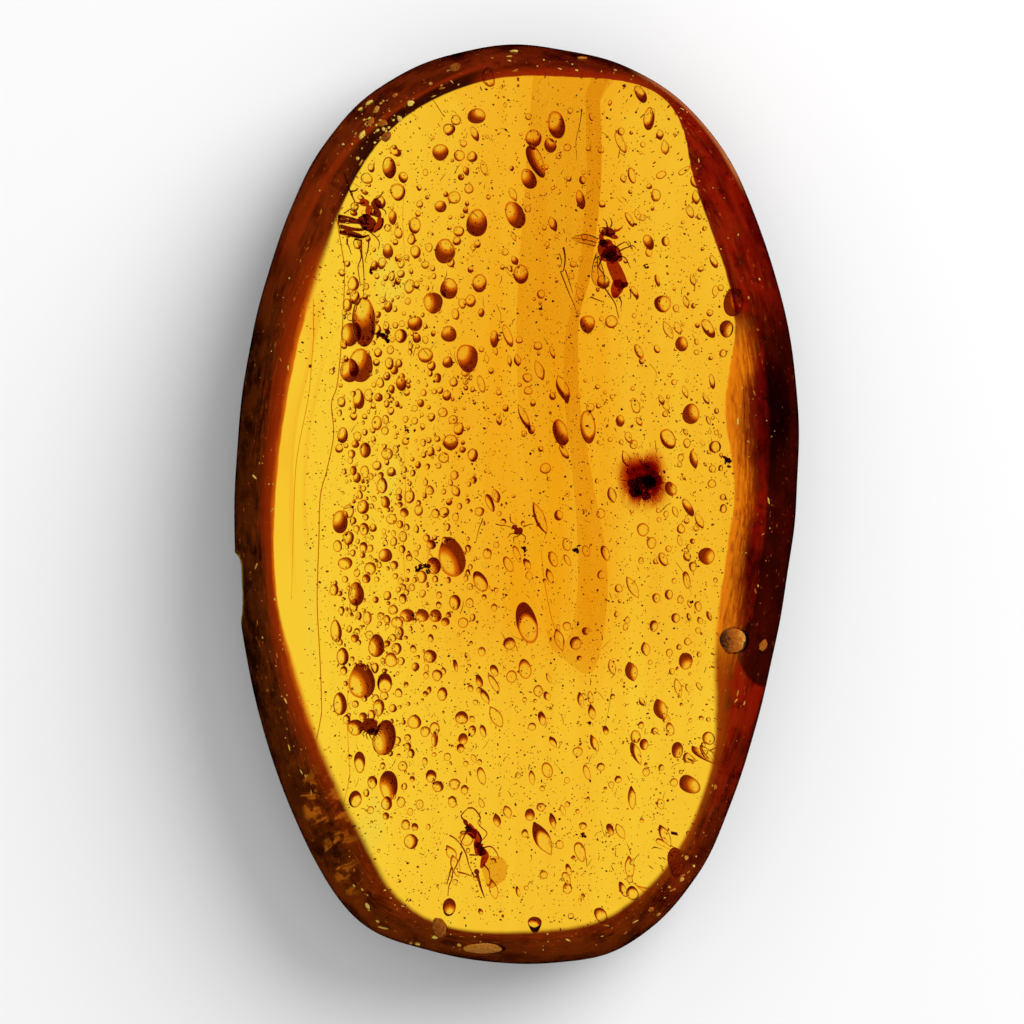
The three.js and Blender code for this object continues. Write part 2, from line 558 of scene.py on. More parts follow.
def flow_tint(recipe):
    """The soft layers and streaks of the old resin flows, deepest in the middle, on the underside only."""
    x, y, _ = in_millimetres(recipe)
    under = 1 - recipe.attribute("above")
    reach = recipe.attribute("reach")
    streak = recipe.noise(1.0, 3.0, recipe.stretched(900.0, 60.0, 300.0))
    broad = recipe.noise(1.0, 2.0, recipe.stretched(260.0, 90.0, 200.0))
    drift = (broad - 0.5) * 3.0
    depth = 0.07 + (x + drift).eased(-8.5, 0.5) * 0.87
    depth = depth * (1 - (x + drift).eased(3.0, 6.0) * 0.36) * (1 - y.eased(7.0, 14.0) * 0.14)
    depth = depth * (1 - (0 - y + drift).eased(4.5, 10.0) * 0.6)
    depth = depth + (streak - 0.5) * 0.7 * x.eased(-9.6, -6.5)
    layer = reach + (broad - 0.5) * 1.6
    left = (0 - x).eased(8.4, 9.0) * (y + drift).eased(-5.0, 0.0)
    layers = layer.eased(2.45, 2.85) * (1 - layer.eased(2.85, 3.0))
    layers = layers + layer.eased(3.35, 3.65) * (1 - layer.eased(3.65, 3.75)) * 0.7
    depth = depth + left * layers * 0.5
    tint = recipe.mix(depth, (1, 1, 0.36, 1), (0.87, 0.4, 0.018, 1))
    strip = (x + (broad - 0.5) * 0.7).eased(-9.6, -9.3) * (1 - (x + (broad - 0.5) * 0.7).eased(-9.15, -8.9))
    pale = recipe.noise(1.0, 1.0, recipe.stretched(420.0, 170.0, 300.0)).eased(0.62, 0.72)
    pale = pale * (1 - x.eased(-6.0, -2.0))
    pale = pale + strip * (0 - y).eased(0.8, 2.5) * (1 - (0 - y).eased(6.0, 8.0)) * 0.8
    tint = recipe.mix(pale, tint, (0.88, 1.0, 0.62, 1))
    return recipe.mix(under, (1, 1, 1, 1), tint)


def in_millimetres(recipe):
    """The place's three numbers in millimetres."""
    split = "ShaderNodeSeparateXYZ"
    place = recipe.stretched(1 / MM, 1 / MM, 1 / MM)
    return tuple(recipe.node(split, {}, {0: place}, output=k) for k in range(3))


def seen(red, green, blue):
    """The skin's own colour for it to be seen as this one, counted to 255, with light coming through it."""
    own = []
    for level, through in zip((red, green, blue), (1.0, 0.45, 0.05)):
        light = (level / 255) ** 2.2
        root = -through / 2 + math.sqrt(through**2 / 4 + 2 * light)
        own.append(min(1.0, root**2))
    return (*own, 1)


def skin_colour(recipe):
    """Dark brown, with red and orange next to the window painted as glow of the light coming through there,
    a painted highlight on the upper right edge, and streaks, mottles, cracks and specks.
    """
    x, y, _ = in_millimetres(recipe)
    glow = recipe.attribute("glow")
    reach = recipe.attribute("reach")
    above = recipe.attribute("above")
    right = x.eased(4.8, 7.6)
    left = (0 - x).eased(8.2, 9.6)
    high = y.eased(7.0, 13.0)
    low = (0 - y).eased(9.0, 16.0)
    mottle = recipe.noise(620.0, 4.0, roughness=0.65)
    patch = recipe.noise(1500.0, 3.0, roughness=0.6)
    band = recipe.noise(1.0, 2.0, recipe.along_rim(0.16, 2.2), roughness=0.55)
    streak = recipe.noise(1.0, 3.0, recipe.along_rim(0.9, 7.0), roughness=0.65)
    flecks = recipe.noise(1.0, 2.0, recipe.along_rim(3.0, 9.0), roughness=0.6)
    lump = recipe.noise(1.0, 3.0, recipe.along_rim(0.55, 1.1), roughness=0.55)
    brown = recipe.mix(mottle.eased(0.38, 0.62), seen(38, 14, 6), seen(78, 30, 13))
    rusty = recipe.mix(lump.eased(0.35, 0.65), seen(70, 17, 5), seen(116, 36, 14))
    olive = recipe.mix(lump.eased(0.36, 0.64), seen(60, 20, 6), seen(100, 36, 12))
    maroon = recipe.mix(lump.eased(0.35, 0.65), seen(92, 8, 2), seen(136, 22, 6))
    colour = recipe.mix(high, brown, rusty)
    colour = recipe.mix(low, colour, olive)
    colour = recipe.mix(right * (1 - low * 0.7), colour, maroon)
    # Painted glow: redder streaks towards the window, where light from below comes through the thinner skin.
    inner = (glow + (band - 0.5) * 0.8).eased(-1.8, 0.5)
    colour = recipe.mix(inner * streak.eased(0.46, 0.7) * 0.55, colour, seen(140, 44, 12))
    colour = recipe.mix(patch.eased(0.55, 0.68) * 0.7, colour, seen(34, 12, 6))
    widened = (0 - y).eased(5.0, 6.4) * 0.9
    outer = (reach - widened + (mottle - 0.5) * 0.25).eased(1.3, 1.55)
    edge_end = (y - reach * reach * 0.5).eased(-8.4, -8.2)
    dark_band = (1 - outer) * right * edge_end * (1 - (y + reach).eased(8.0, 11.5))
    colour = recipe.mix(dark_band * 0.93, colour, seen(38, 12, 3))
    # lit rises towards the window and masks the painted glow below.
    lit = glow + (mottle - 0.5) * 0.35 + (streak - 0.5) * 0.3
    upper_left = (0 - x).eased(0.6, 2.4) * y.eased(10.5, 12.5)
    corner = upper_left * x.eased(-8.4, -7.0) * y.eased(13.0, 15.0)
    reddish = (glow + (band - 0.5)).eased(-1.6, -1.0) * (1 - (glow + (band - 0.5)).eased(-0.9, -0.4))
    colour = recipe.mix(upper_left * reddish * 0.6, colour, seen(150, 42, 12))
    colour = recipe.mix(corner * lit.eased(-0.9, -0.2) * 0.92, colour, seen(40, 15, 4))
    # Painted glow: red along the window's inner edge, and bright orange on the left next to the window.
    inner_edge_glow = lit.eased(-0.5, 0.9) * above * (1 - right) * (1 - upper_left) * (1 - low * 0.75)
    colour = recipe.mix(inner_edge_glow, colour, seen(150, 42, 6))
    side = left * (1 - y.eased(9.0, 12.0) * 0.8) * (1 - low)
    colour = recipe.mix(lit.eased(0.6, 1.05) * above * side, colour, seen(222, 96, 14))
    # Painted glow: a bright orange band with fibrous streaks along the window on the right; shade here is
    # the band's colour.
    window_glow_band = (glow + (band - 0.5) * 0.4).eased(-0.2, 0.3) * right * (1 - y.eased(6.8, 8.8))
    window_glow_band = window_glow_band * (y + 0.6).eased(-7.5, -5.0)
    fibrous = glow * 0.6 + (streak - 0.5) * 1.6 + 0.15
    shade = recipe.mix(fibrous.eased(0.1, 0.8), seen(152, 54, 6), seen(228, 118, 18))
    colour = recipe.mix(window_glow_band * above, colour, shade)
    # Painted glow: paler red next to the window in the lower right.
    low_right_glow = lit.eased(0.0, 1.0) * right * (0 - y).eased(5.5, 7.5)
    colour = recipe.mix(low_right_glow * above * 0.8, colour, seen(158, 62, 12))
    smoke = recipe.noise(1.0, 3.0, recipe.along_rim(1.5, 0.75), roughness=0.6, swirl=0.6)
    cloudy = (0 - x).eased(6.9, 8.2) * (0 - y).eased(11.5, 13.5) * (reach + (lump - 0.5)).eased(0.5, 0.9)
    colour = recipe.mix(cloudy * smoke.eased(0.52, 0.62) * 0.85, colour, seen(178, 80, 22))
    colour = recipe.mix(cloudy * (1 - smoke.eased(0.4, 0.5)) * 0.8, colour, seen(40, 17, 7))
    # Painted highlight: a pale flare along the outer edge at the upper right.
    flare = (1 - reach.eased(0.08, 0.3)) * x.eased(5.0, 6.5) * y.eased(14.0, 15.5)
    colour = recipe.mix(flare * 0.8, colour, seen(232, 124, 70))
    return recipe.mix(flecks.eased(0.68, 0.74) * 0.75, colour, seen(180, 84, 34))


class AMBER_OT_stone(bpy.types.Operator):
    """Build the amber pebble itself."""

    bl_idname = "amber.stone"
    bl_label = "Amber Stone"

    def execute(self, context):
        stone = piece("amber_stone", stone_shape(), amber_material())
        cut_flake(stone)
        mark_skin(stone)
        stone.data.set_sharp_from_angle(angle=math.radians(30))
        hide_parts("amber")
        return {"FINISHED"}


# Bubbles


def gas_material():
    """Gas in the resin: clear where the tone is low, rusty and then dark brown as it rises. The tone is a
    real stain on some bubbles, and on all of them painted shade: dark crescents and outlines for the light
    that the bubble's wall bends away.
    """
    recipe = Recipe("gas_bubble")
    film_and_shade = recipe.attribute("tone")

    def glass(colour):
        contrast = bpy.context.scene.amber_filling.bubble_contrast
        values = {"Color": colour, "Roughness": 0.0, "IOR": 1 / contrast}
        return recipe.node("ShaderNodeBsdfGlass", {}, values)

    rusty = {0: film_and_shade.eased(0.0, 0.5), 1: glass((1, 1, 1, 1)), 2: glass((0.8, 0.44, 0.2, 1))}
    lighter = recipe.node("ShaderNodeMixShader", {}, rusty)
    dark = {0: film_and_shade.eased(0.5, 1.0), 1: lighter, 2: glass((0.36, 0.12, 0.05, 1))}
    return recipe.finish(recipe.node("ShaderNodeMixShader", {}, dark))


GAS = {}
PLACED = [(0.0, 0.0, -50.0, 0.1)]  # x, y, z and radius of each bubble so far, and one far off to begin with
NEAR_SLOPE = 1.06  # how much further out a place is looked at to tell if the stone's side slopes near it
SLOPE_TOP = 7.3  # height below which the upper side counts as sloping


def gas():
    if "material" not in GAS:
        GAS["material"] = gas_material()
    return GAS["material"]


def free_depth(x, y, radius, rng, low, high):
    """The depth, out of a few random ones, that keeps furthest from what is already sealed in."""
    taken = np.array(PLACED)
    best, best_gap = low, -1e9
    for _ in range(14):
        z = rng.uniform(low, high)
        gap = (np.linalg.norm(taken[:, :3] - (x, y, z), axis=1) - taken[:, 3]).min()
        if gap > best_gap:
            best, best_gap = z, gap
    PLACED.append((x, y, best, radius))
    return best


def crowded(x, y, radius):
    """True where another bubble lies right over or under this place."""
    taken = np.array(PLACED)
    return ((taken[:, 0] - x) ** 2 + (taken[:, 1] - y) ** 2 < (taken[:, 3] * 0.8 + radius) ** 2).any()


def add_bubble(shape, rng, x, y, half_width, half_length, tilt=0, kind=""):
    """One bubble. In kind, o is stained all over and painted darker towards its shaded side, c has a wide
    painted crescent of shade on one side, p is pointed and d has a painted crescent of shade that is nearly
    black.
    """
    level = 5 if half_length > 0.75 else 4 if half_length > 0.45 else 3 if half_length > 0.12 else 2
    points, faces = unit_ball(level)
    away = math.hypot(x, y) + 1e-6
    heading = math.atan2(-y / away * 0.8 - 0.15, -x / away) + rng.gauss(0, 0.45)
    shade = np.array([math.cos(heading), math.sin(heading)])
    # Painted shade: a dark crescent on the side turned to shade, an outline round the edge that is darkest
    # on that side, and for o a fill darker towards it, for the light that the bubble's wall bends away.
    facing = points[:, :2] @ shade
    thick = rng.uniform(0.35, 0.75) if "c" in kind or "d" in kind else rng.uniform(0.1, 0.4)
    edge = np.clip((np.linalg.norm(points[:, :2] + thick * shade, axis=1) - 0.88) / 0.22, 0, 1)
    ring = np.clip((np.linalg.norm(points[:, :2], axis=1) - 0.82) / 0.14, 0, 1) * (0.66 + 0.28 * facing)
    reach = 1.0 if "d" in kind else 0.9 if "c" in kind else 0.8
    stain_and_shade = 0.06
    if "o" in kind:
        from_light = np.linalg.norm(points[:, :2] + 0.85 * shade, axis=1)
        stain_and_shade = np.clip((from_light - 0.58) / 0.55, 0.1, 1) * 0.84
    tone = np.maximum(np.maximum(edge * reach, ring), stain_and_shade)
    shaped = points.copy()
    if "p" in kind:
        shaped[:, [0, 2]] *= ((1 - shaped[:, 1] ** 2) ** 0.42)[:, None] * 1.1
    shaped[:, 0] *= 1 + rng.uniform(-0.18, 0.18) * shaped[:, 1]
    shaped = shaped * (1 + 0.03 * waves(points * 1.3, rng.randrange(9999)))[:, None]
    depth = half_width * rng.uniform(0.75, 1.05)
    sloping = top_height(x * NEAR_SLOPE, y * NEAR_SLOPE) < SLOPE_TOP
    low = 1.0 + depth if inside_window(x, y, 0.9) and not sloping else 5.6 - depth
    z = free_depth(x, y, half_width, rng, low, 6.9 - depth)
    lean = (rng.uniform(-14, 14), rng.uniform(-10, 10), tilt + rng.uniform(-4, 4))
    points = turned(shaped * (half_width, half_length, depth), lean) + (x, y, z)
    shape.add(points, faces, np.clip(tone, 0, 1))


# x and y of each bubble, half its width and half its length in millimetres, its tilt in degrees, its kind
LEFT_BUBBLES = [
    (-6.9, 8.31, 0.54, 1.14, 0, "o"),
    (-7.51, 7.74, 0.42, 0.55, 0, "o"),
    (-7.03, 6.35, 0.55, 0.78, 0, "o"),
    (-7.53, 6.11, 0.44, 0.54, 0, "oc"),
    (-7.12, 4.82, 0.26, 0.48, 0, "c"),
    (-4.58, 8.22, 0.35, 0.35, 0, "o"),
    (-3.75, 9.18, 0.45, 0.5, 0, "o"),
    (-3.05, 9.81, 0.4, 0.48, 0, "o"),
    (-3.05, 7.76, 0.37, 0.37, 0, "o"),
    (-4.1, 6.8, 0.35, 0.35, 0, ""),
    (-2.2, 6.65, 0.48, 0.66, 10, "o"),
    (-1.0, 7.52, 0.2, 0.4, 0, "o"),
    (-1.66, 10.07, 0.33, 0.44, 0, "c"),
    (-7.86, 3.16, 0.25, 0.37, 0, "c"),
    (-7.27, 2.76, 0.18, 0.18, 0, "o"),
    (-5.85, 2.3, 0.27, 0.27, 0, ""),
    (-6.29, 1.78, 0.22, 0.22, 0, "c"),
    (-6.83, 1.5, 0.2, 0.3, 0, ""),
    (-6.07, 0.89, 0.25, 0.37, 0, "d"),
    (-2.97, 2.85, 0.36, 0.36, 0, "c"),
    (-3.29, 2.15, 0.25, 0.25, 0, ""),
    (-3.33, 4.2, 0.23, 0.23, 0, ""),
    (-2.86, 3.87, 0.21, 0.21, 0, ""),
    (-7.95, -0.77, 0.35, 0.53, 0, "oc"),
    (-7.58, -0.29, 0.25, 0.32, 0, ""),
    (-7.6, -1.5, 0.26, 0.32, 0, "c"),
    (-8.08, -1.86, 0.21, 0.28, 0, ""),
    (-7.72, -2.66, 0.33, 0.29, 0, "c"),
    (-6.6, -2.9, 0.27, 0.31, 0, ""),
    (-5.91, -2.29, 0.32, 0.32, 0, "o"),
    (-5.63, -0.64, 0.25, 0.25, 0, ""),
    (-2.92, -2.35, 0.6, 0.92, 15, "o"),
    (-3.74, -2.76, 0.33, 0.4, 0, "od"),
    (-1.64, -3.46, 0.31, 0.5, 25, "c"),
    (-0.37, -2.69, 0.2, 0.4, 25, ""),
    (-7.25, -4.04, 0.37, 0.55, 0, "oc"),
    (-8.23, -3.84, 0.2, 0.28, 0, "c"),
    (-6.72, -5.14, 0.2, 0.31, 0, ""),
    (-5.58, -4.74, 0.23, 0.23, 0, ""),
    (-5.38, -5.35, 0.28, 0.28, 0, ""),
    (-4.93, -5.02, 0.34, 0.31, 0, "o"),
    (-4.25, -5.02, 0.31, 0.3, 0, "o"),
    (-3.66, -5.02, 0.29, 0.3, 0, "o"),
    (-3.2, -5.3, 0.2, 0.2, 0, "o"),
    (-2.4, -5.35, 0.24, 0.24, 0, ""),
    (-8.15, -5.71, 0.26, 0.53, 0, "c"),
    (-6.33, -6.37, 0.37, 0.53, 0, "oc"),
    (-7.86, -6.86, 0.28, 0.41, 0, "c"),
    (-5.66, -7.04, 0.29, 0.34, 0, ""),
    (-3.91, -6.86, 0.31, 0.31, 0, "c"),
    (-6.98, -8.0, 0.61, 0.81, 0, "od"),
    (-5.95, -8.08, 0.34, 0.47, 0, "d"),
    (-7.98, -9.02, 0.31, 0.53, 0, "c"),
    (-6.23, -9.2, 0.26, 0.41, 0, "c"),
    (-7.27, -10.12, 0.38, 0.38, 0, "c"),
    (-5.97, -10.55, 0.52, 0.82, -8, "od"),
    (-4.6, -9.87, 0.33, 0.33, 0, "c"),
    (-2.48, -9.63, 0.31, 0.31, 0, "c"),
    (-0.93, -9.63, 0.24, 0.57, 28, "p"),
    (-3.66, -10.65, 0.16, 0.37, 0, "o"),
    (-7.09, -11.7, 0.26, 0.5, 0, "c"),
    (-5.75, -12.8, 0.43, 0.7, 0, "od"),
    (-7.28, -13.32, 0.28, 0.38, 0, "c"),
    (-5.2, -13.5, 0.2, 0.26, 0, ""),
    (-4.37, -13.58, 0.17, 0.23, 0, ""),
    (-2.81, -12.67, 0.26, 0.26, 0, ""),
    (-3.54, -12.8, 0.26, 0.26, 0, "c"),
    (-3.04, -18.22, 0.3, 0.4, 0, "oc"),
    (-2.26, -15.18, 0.33, 0.33, 0, ""),
]
UPPER_BUBBLES = [
    (-1.79, 17.71, 0.42, 0.36, 0, "o"),
    (-1.22, 19.19, 0.26, 0.24, 0, ""),
    (-3.05, 17.01, 0.28, 0.28, 0, "c"),
    (-3.42, 16.01, 0.38, 0.38, 0, "o"),
    (-2.55, 15.9, 0.26, 0.26, 0, ""),
    (-2.0, 15.8, 0.25, 0.25, 0, "c"),
    (-6.64, 14.74, 0.25, 0.25, 0, ""),
    (-5.72, 15.27, 0.3, 0.5, 0, "od"),
    (-5.1, 14.9, 0.2, 0.26, 0, "c"),
    (-5.33, 14.26, 0.33, 0.4, 0, "d"),
    (-2.79, 14.0, 0.3, 0.3, 0, ""),
    (-3.4, 13.56, 0.28, 0.28, 0, "o"),
    (-1.79, 12.82, 0.48, 0.65, 0, "oc"),
    (-2.6, 12.4, 0.25, 0.25, 0, ""),
    (-3.19, 11.55, 0.45, 0.57, 0, "o"),
    (-5.81, 11.51, 0.24, 0.35, 0, "o"),
    (-5.6, 13.05, 0.2, 0.35, 0, "o"),
    (-4.97, 11.2, 0.14, 0.14, 0, ""),
    (-4.1, 10.9, 0.19, 0.19, 0, ""),
    (1.81, 17.31, 0.39, 0.67, 15, "c"),
    (0.78, 16.65, 0.37, 0.42, 10, "c"),
    (1.53, 16.33, 0.28, 0.35, 20, "o"),
    (0.88, 15.58, 0.33, 0.8, 25, "od"),
    (0.55, 14.84, 0.33, 0.5, 25, "oc"),
    (2.3, 16.2, 0.18, 0.18, 0, ""),
    (-0.05, 13.21, 0.43, 0.66, 25, "oc"),
    (2.9, 13.86, 0.2, 0.45, 15, "oc"),
    (0.2, 10.46, 0.35, 0.45, 0, "c"),
    (2.56, 10.94, 0.16, 0.16, 0, ""),
    (5.56, 18.56, 0.26, 0.47, 20, "d"),
    (5.82, 17.35, 0.2, 0.42, 10, "c"),
    (6.65, 16.19, 0.17, 0.35, 10, "p"),
    (5.16, 15.02, 0.17, 0.37, 10, "c"),
    (6.28, 14.09, 0.22, 0.3, 0, ""),
    (5.97, 11.9, 0.23, 0.37, 25, "oc"),
    (6.57, 9.15, 0.4, 0.4, 0, "d"),
    (9.61, 9.15, 0.4, 0.65, 0, "o"),
    (9.45, 7.96, 0.3, 0.4, 0, "oc"),
    (3.16, 8.24, 0.33, 0.42, 0, "o"),
    (4.28, 8.31, 0.3, 0.3, 0, ""),
    (7.45, 7.31, 0.3, 0.35, 0, "o"),
    (7.84, 4.14, 0.39, 0.48, 0, "o"),
]
RIGHT_BUBBLES = [
    (0.13, 7.49, 0.17, 0.17, 0, ""),
    (0.97, 7.23, 0.2, 0.2, 0, ""),
    (0.49, 5.77, 0.22, 0.22, 0, ""),
    (0.53, 5.21, 0.2, 0.2, 0, ""),
    (2.09, 5.26, 0.25, 0.7, 20, "pc"),
    (0.35, 3.94, 0.17, 0.7, 25, "pc"),
    (1.98, 3.3, 0.35, 0.63, 20, "oc"),
    (3.21, 3.54, 0.35, 0.78, 5, ""),
    (1.3, 1.67, 0.26, 0.26, 0, ""),
    (6.84, 2.98, 0.33, 0.48, 20, "c"),
    (5.35, 4.51, 0.2, 0.38, 15, ""),
    (4.68, 3.81, 0.2, 0.28, 0, "o"),
    (7.68, 2.79, 0.17, 0.23, 0, ""),
    (8.98, 2.63, 0.28, 0.28, 0, "d"),
    (8.82, 0.97, 0.2, 0.2, 0, ""),
    (9.34, 0.35, 0.15, 0.15, 0, ""),
    (6.93, 0.74, 0.26, 0.35, 25, "o"),
    (8.56, -2.33, 0.4, 0.4, 0, "o"),
    (6.09, -1.73, 0.22, 0.28, 0, ""),
    (6.61, -2.47, 0.2, 0.34, 20, "c"),
    (2.26, -1.79, 0.2, 0.3, 15, ""),
    (3.13, -2.08, 0.17, 0.27, 15, ""),
    (1.65, -2.47, 0.2, 0.38, 20, ""),
    (4.0, -2.19, 0.19, 0.37, 20, "c"),
    (1.06, -0.61, 0.22, 0.8, 20, "pc"),
    (-1.67, -0.31, 0.22, 0.22, 0, ""),
    (0.47, -5.37, 0.47, 0.97, 15, "c"),
    (1.94, -6.11, 0.2, 0.53, 20, "p"),
    (2.66, -6.28, 0.27, 0.31, 0, "c"),
    (-0.32, -6.28, 0.29, 0.29, 0, "c"),
    (0.38, -7.44, 0.3, 0.46, 10, ""),
    (-0.22, -7.8, 0.25, 0.29, 0, ""),
    (0.98, -8.42, 0.23, 0.27, 0, ""),
    (3.33, -8.73, 0.13, 0.3, 10, ""),
    (4.31, -7.36, 0.17, 0.38, 15, "p"),
    (5.16, -7.58, 0.27, 0.48, 20, "po"),
    (7.61, -7.1, 0.32, 0.4, 0, "o"),
    (6.89, -6.72, 0.15, 0.2, 0, ""),
    (6.19, -5.49, 0.19, 0.27, 0, "c"),
    (4.99, -5.23, 0.13, 0.17, 0, ""),
    (4.9, -5.56, 0.13, 0.17, 0, ""),
    (6.5, -9.29, 0.29, 0.53, 25, "po"),
    (6.2, -10.3, 0.17, 0.17, 0, "c"),
    (5.38, -10.49, 0.24, 0.3, 0, ""),
    (5.38, -11.3, 0.2, 0.58, 20, "pc"),
    (7.27, -11.11, 0.27, 0.38, 0, "oc"),
    (2.75, -11.24, 0.23, 0.23, 0, ""),
    (4.58, -12.46, 0.17, 0.17, 0, "c"),
    (1.39, -12.03, 0.25, 0.37, 15, ""),
    (7.66, -12.65, 0.3, 0.4, 0, "oc"),
    (7.1, -12.65, 0.2, 0.2, 0, ""),
    (1.12, -13.76, 0.21, 0.21, 0, ""),
    (5.21, -13.27, 0.17, 0.58, 5, "pc"),
    (2.99, -14.61, 0.18, 0.18, 0, "d"),
    (1.17, -15.13, 0.33, 0.85, 30, "pc"),
    (2.88, -15.78, 0.24, 0.47, 20, ""),
    (2.31, -17.43, 0.21, 0.29, 0, "c"),
    (1.23, -16.78, 0.19, 0.19, 0, ""),
    (5.19, -17.54, 0.26, 0.3, 0, "d"),
    (5.11, -16.55, 0.2, 0.6, 5, "p"),
    (6.89, -16.02, 0.3, 0.64, 0, "o"),
    (0.83, -18.98, 0.32, 0.3, 0, "c"),
    (3.75, -18.52, 0.26, 0.26, 0, "c"),
    (2.46, -18.64, 0.14, 0.14, 0, ""),
    (9.8, -6.13, 0.58, 0.58, 0, "o"),
]


class AMBER_OT_bubbles(bpy.types.Operator):
    """Blow the larger bubbles, each in its own place."""

    bl_idname = "amber.bubbles"
    bl_label = "Larger Bubbles"

    def execute(self, context):
        rng = random.Random(11)
        for name, bubbles in (
            ("left_bubbles", LEFT_BUBBLES),
            ("upper_bubbles", UPPER_BUBBLES),
            ("right_bubbles", RIGHT_BUBBLES),
        ):
            shape = Shape()
            for bubble in sorted(bubbles, key=lambda b: -b[3]):
                add_bubble(shape, rng, *bubble)
            piece(name, shape, gas())
        return {"FINISHED"}


WINDOW = {}


def inside_window(x, y, margin):
    """True if a place lies under the window, at least that far in from its edge."""
    if not WINDOW:
        here, girdle, inward = girdle_frame(360)
        edge = girdle + inward * here[:, 4:5]
        angle = np.arctan2(edge[:, 1], edge[:, 0])
        order = np.argsort(angle)
        WINDOW["angle"] = angle[order]
        WINDOW["reach"] = np.hypot(edge[:, 0], edge[:, 1])[order]
    reach = np.interp(math.atan2(y, x), WINDOW["angle"], WINDOW["reach"], period=2 * math.pi)
    return math.hypot(x, y) < reach - margin


class AMBER_OT_streams(bpy.types.Operator):
    """Scatter the small bubbles: columns that rose along the left side, and loose ones in the right."""

    bl_idname = "amber.streams"
    bl_label = "Streams of Small Bubbles"

    def execute(self, context):
        filling = context.scene.amber_filling
        rng = random.Random(23)
        columns = {-7.7: 1.1, -7.1: 1.4, -6.5: 1.5, -5.8: 1.5, -5.2: 1.4, -4.6: 1.2, -3.9: 1.0}
        columns.update({-3.1: 0.9, -2.2: 0.5})
        shape = Shape()
        made = 0
        while made < filling.left_stream:
            column = rng.choices(list(columns), list(columns.values()))[0]
            x, y = rng.gauss(column, 0.26), rng.triangular(-16.5, 18.0, 1.0)
            radius = min(0.34, rng.lognormvariate(math.log(0.13), 0.45))
            if not inside_window(x, y, 0.3) or crowded(x, y, radius):
                continue
            kind = rng.choices(("", "c", "oc", "d"), (3, 5, 2, 1.6))[0]
            half_length = radius * rng.uniform(1.0, 1.45)
            add_bubble(shape, rng, x, y, radius, half_length, rng.uniform(-10, 10), kind)
            made += 1
        piece("left_stream", shape, gas())
        shape = Shape()
        made = 0
        while made < filling.right_stream + filling.drawn_out:
            drawn = made < filling.drawn_out
            x, y = rng.uniform(-3.0 if rng.random() < 0.7 else 6.2, 10.3), rng.uniform(-18.5, 18.5)
            if drawn:
                radius = rng.uniform(0.09, 0.2)
            else:
                radius = min(0.28, rng.lognormvariate(math.log(0.12), 0.35))
            if not inside_window(x, y, 0.2 if y < 15.5 else 1.0) or crowded(x, y, radius * 1.4):
                continue
            kind = rng.choices(("", "c", "oc"), (5, 5, 1))[0]
            kind += "p" if drawn and rng.random() < 0.6 else ""
            stretch = rng.uniform(1.5, 3.0) if drawn else rng.uniform(1.0, 1.3)
            tilt = rng.uniform(10, 30) if drawn else 0
            add_bubble(shape, rng, x, y, radius, radius * stretch, tilt, kind)
            made += 1
        piece("right_stream", shape, gas())
        return {"FINISHED"}


# Flow lines


def tinted_resin(name, light, deep):
    """Resin of another pour: it bends light hardly at all, and the tone deepens its colour."""
    recipe = Recipe(name)

    def glass(colour):
        return recipe.node("ShaderNodeBsdfGlass", {}, {"Color": colour, "Roughness": 0.0, "IOR": 1.012})

    mixed = {0: recipe.attribute("tone").eased(0.0, 1.0), 1: glass(light), 2: glass(deep)}
    return recipe.finish(recipe.node("ShaderNodeMixShader", {}, mixed))


TONGUE_RIGHT = [
    (3.7, 20.1),
    (3.85, 17.0),
    (3.8, 14.2),
    (3.35, 10.5),
    (2.8, 8.2),
    (2.85, 4.8),
    (3.35, 1.6),
    (3.95, -1.6),
    (4.1, -4.3),
    (3.8, -6.6),
    (2.95, -8.05),
]
TONGUE_LEFT = [
    (0.8, 20.2),
    (0.55, 17.0),
    (0.35, 14.2),
    (0.1, 10.5),
    (0.0, 8.2),
    (0.1, 4.8),
    (0.4, 1.6),
    (0.95, -1.6),
    (1.25, -4.3),
    (1.7, -6.9),
    (2.55, -8.0),
]
STRIP_LEFT = [
    (3.1, 20.0),
    (3.15, 17.0),
    (3.15, 14.2),
    (2.8, 10.5),
    (2.2, 7.6),
    (2.15, 4.8),
    (2.5, 1.6),
    (2.75, -1.6),
    (2.7, -4.3),
    (2.2, -6.2),
    (1.3, -5.6),
]
STRIP_RIGHT = [
    (3.66, 20.0),
    (3.83, 17.0),
    (3.78, 14.2),
    (3.33, 10.5),
    (2.78, 8.2),
    (2.83, 4.8),
    (3.33, 1.6),
    (3.93, -1.6),
    (4.08, -4.3),
    (3.4, -7.6),
    (1.6, -6.6),
]
OUTER_SEAM = [
    (-7.85, 15.0),
    (-7.8, 9.4),
    (-8.06, 5.7),
    (-8.35, 4.6),
    (-8.25, 3.2),
    (-8.55, 1.6),
    (-8.85, 0.4),
    (-8.92, -1.6),
    (-9.0, -4.3),
    (-8.9, -6.5),
    (-8.84, -8.5),
    (-8.84, -11.0),
]
FAINT_SEAM = [(-9.0, 9.3), (-9.2, 7.6), (-9.4, 5.0), (-9.9, 2.4), (-10.05, 0.6), (-10.2, -4.3)]

# Half the thickness of each line between two pours, in millimetres, and its path
SEAMS = {
    "outer_seam": (0.024, OUTER_SEAM),
    "lower_line": (0.016, [(-7.6, -7.9), (-7.64, -10.0), (-7.56, -12.2), (-7.6, -14.2)]),
    "faint_seam": (0.02, FAINT_SEAM),
    "upper_line": (0.015, [(-5.07, 14.8), (-5.12, 13.0), (-5.05, 11.3)]),
    "middle_line": (0.013, [(-5.1, 3.2), (-5.0, 0.6), (-5.1, -2.2), (-4.9, -4.4)]),
    "tongue_line": (0.02, [(1.07, -1.6), (1.25, -3.4), (1.6, -5.2), (2.2, -7.0)]),
}


def at_height(path, z):
    return [(x, y, z) for x, y in path]


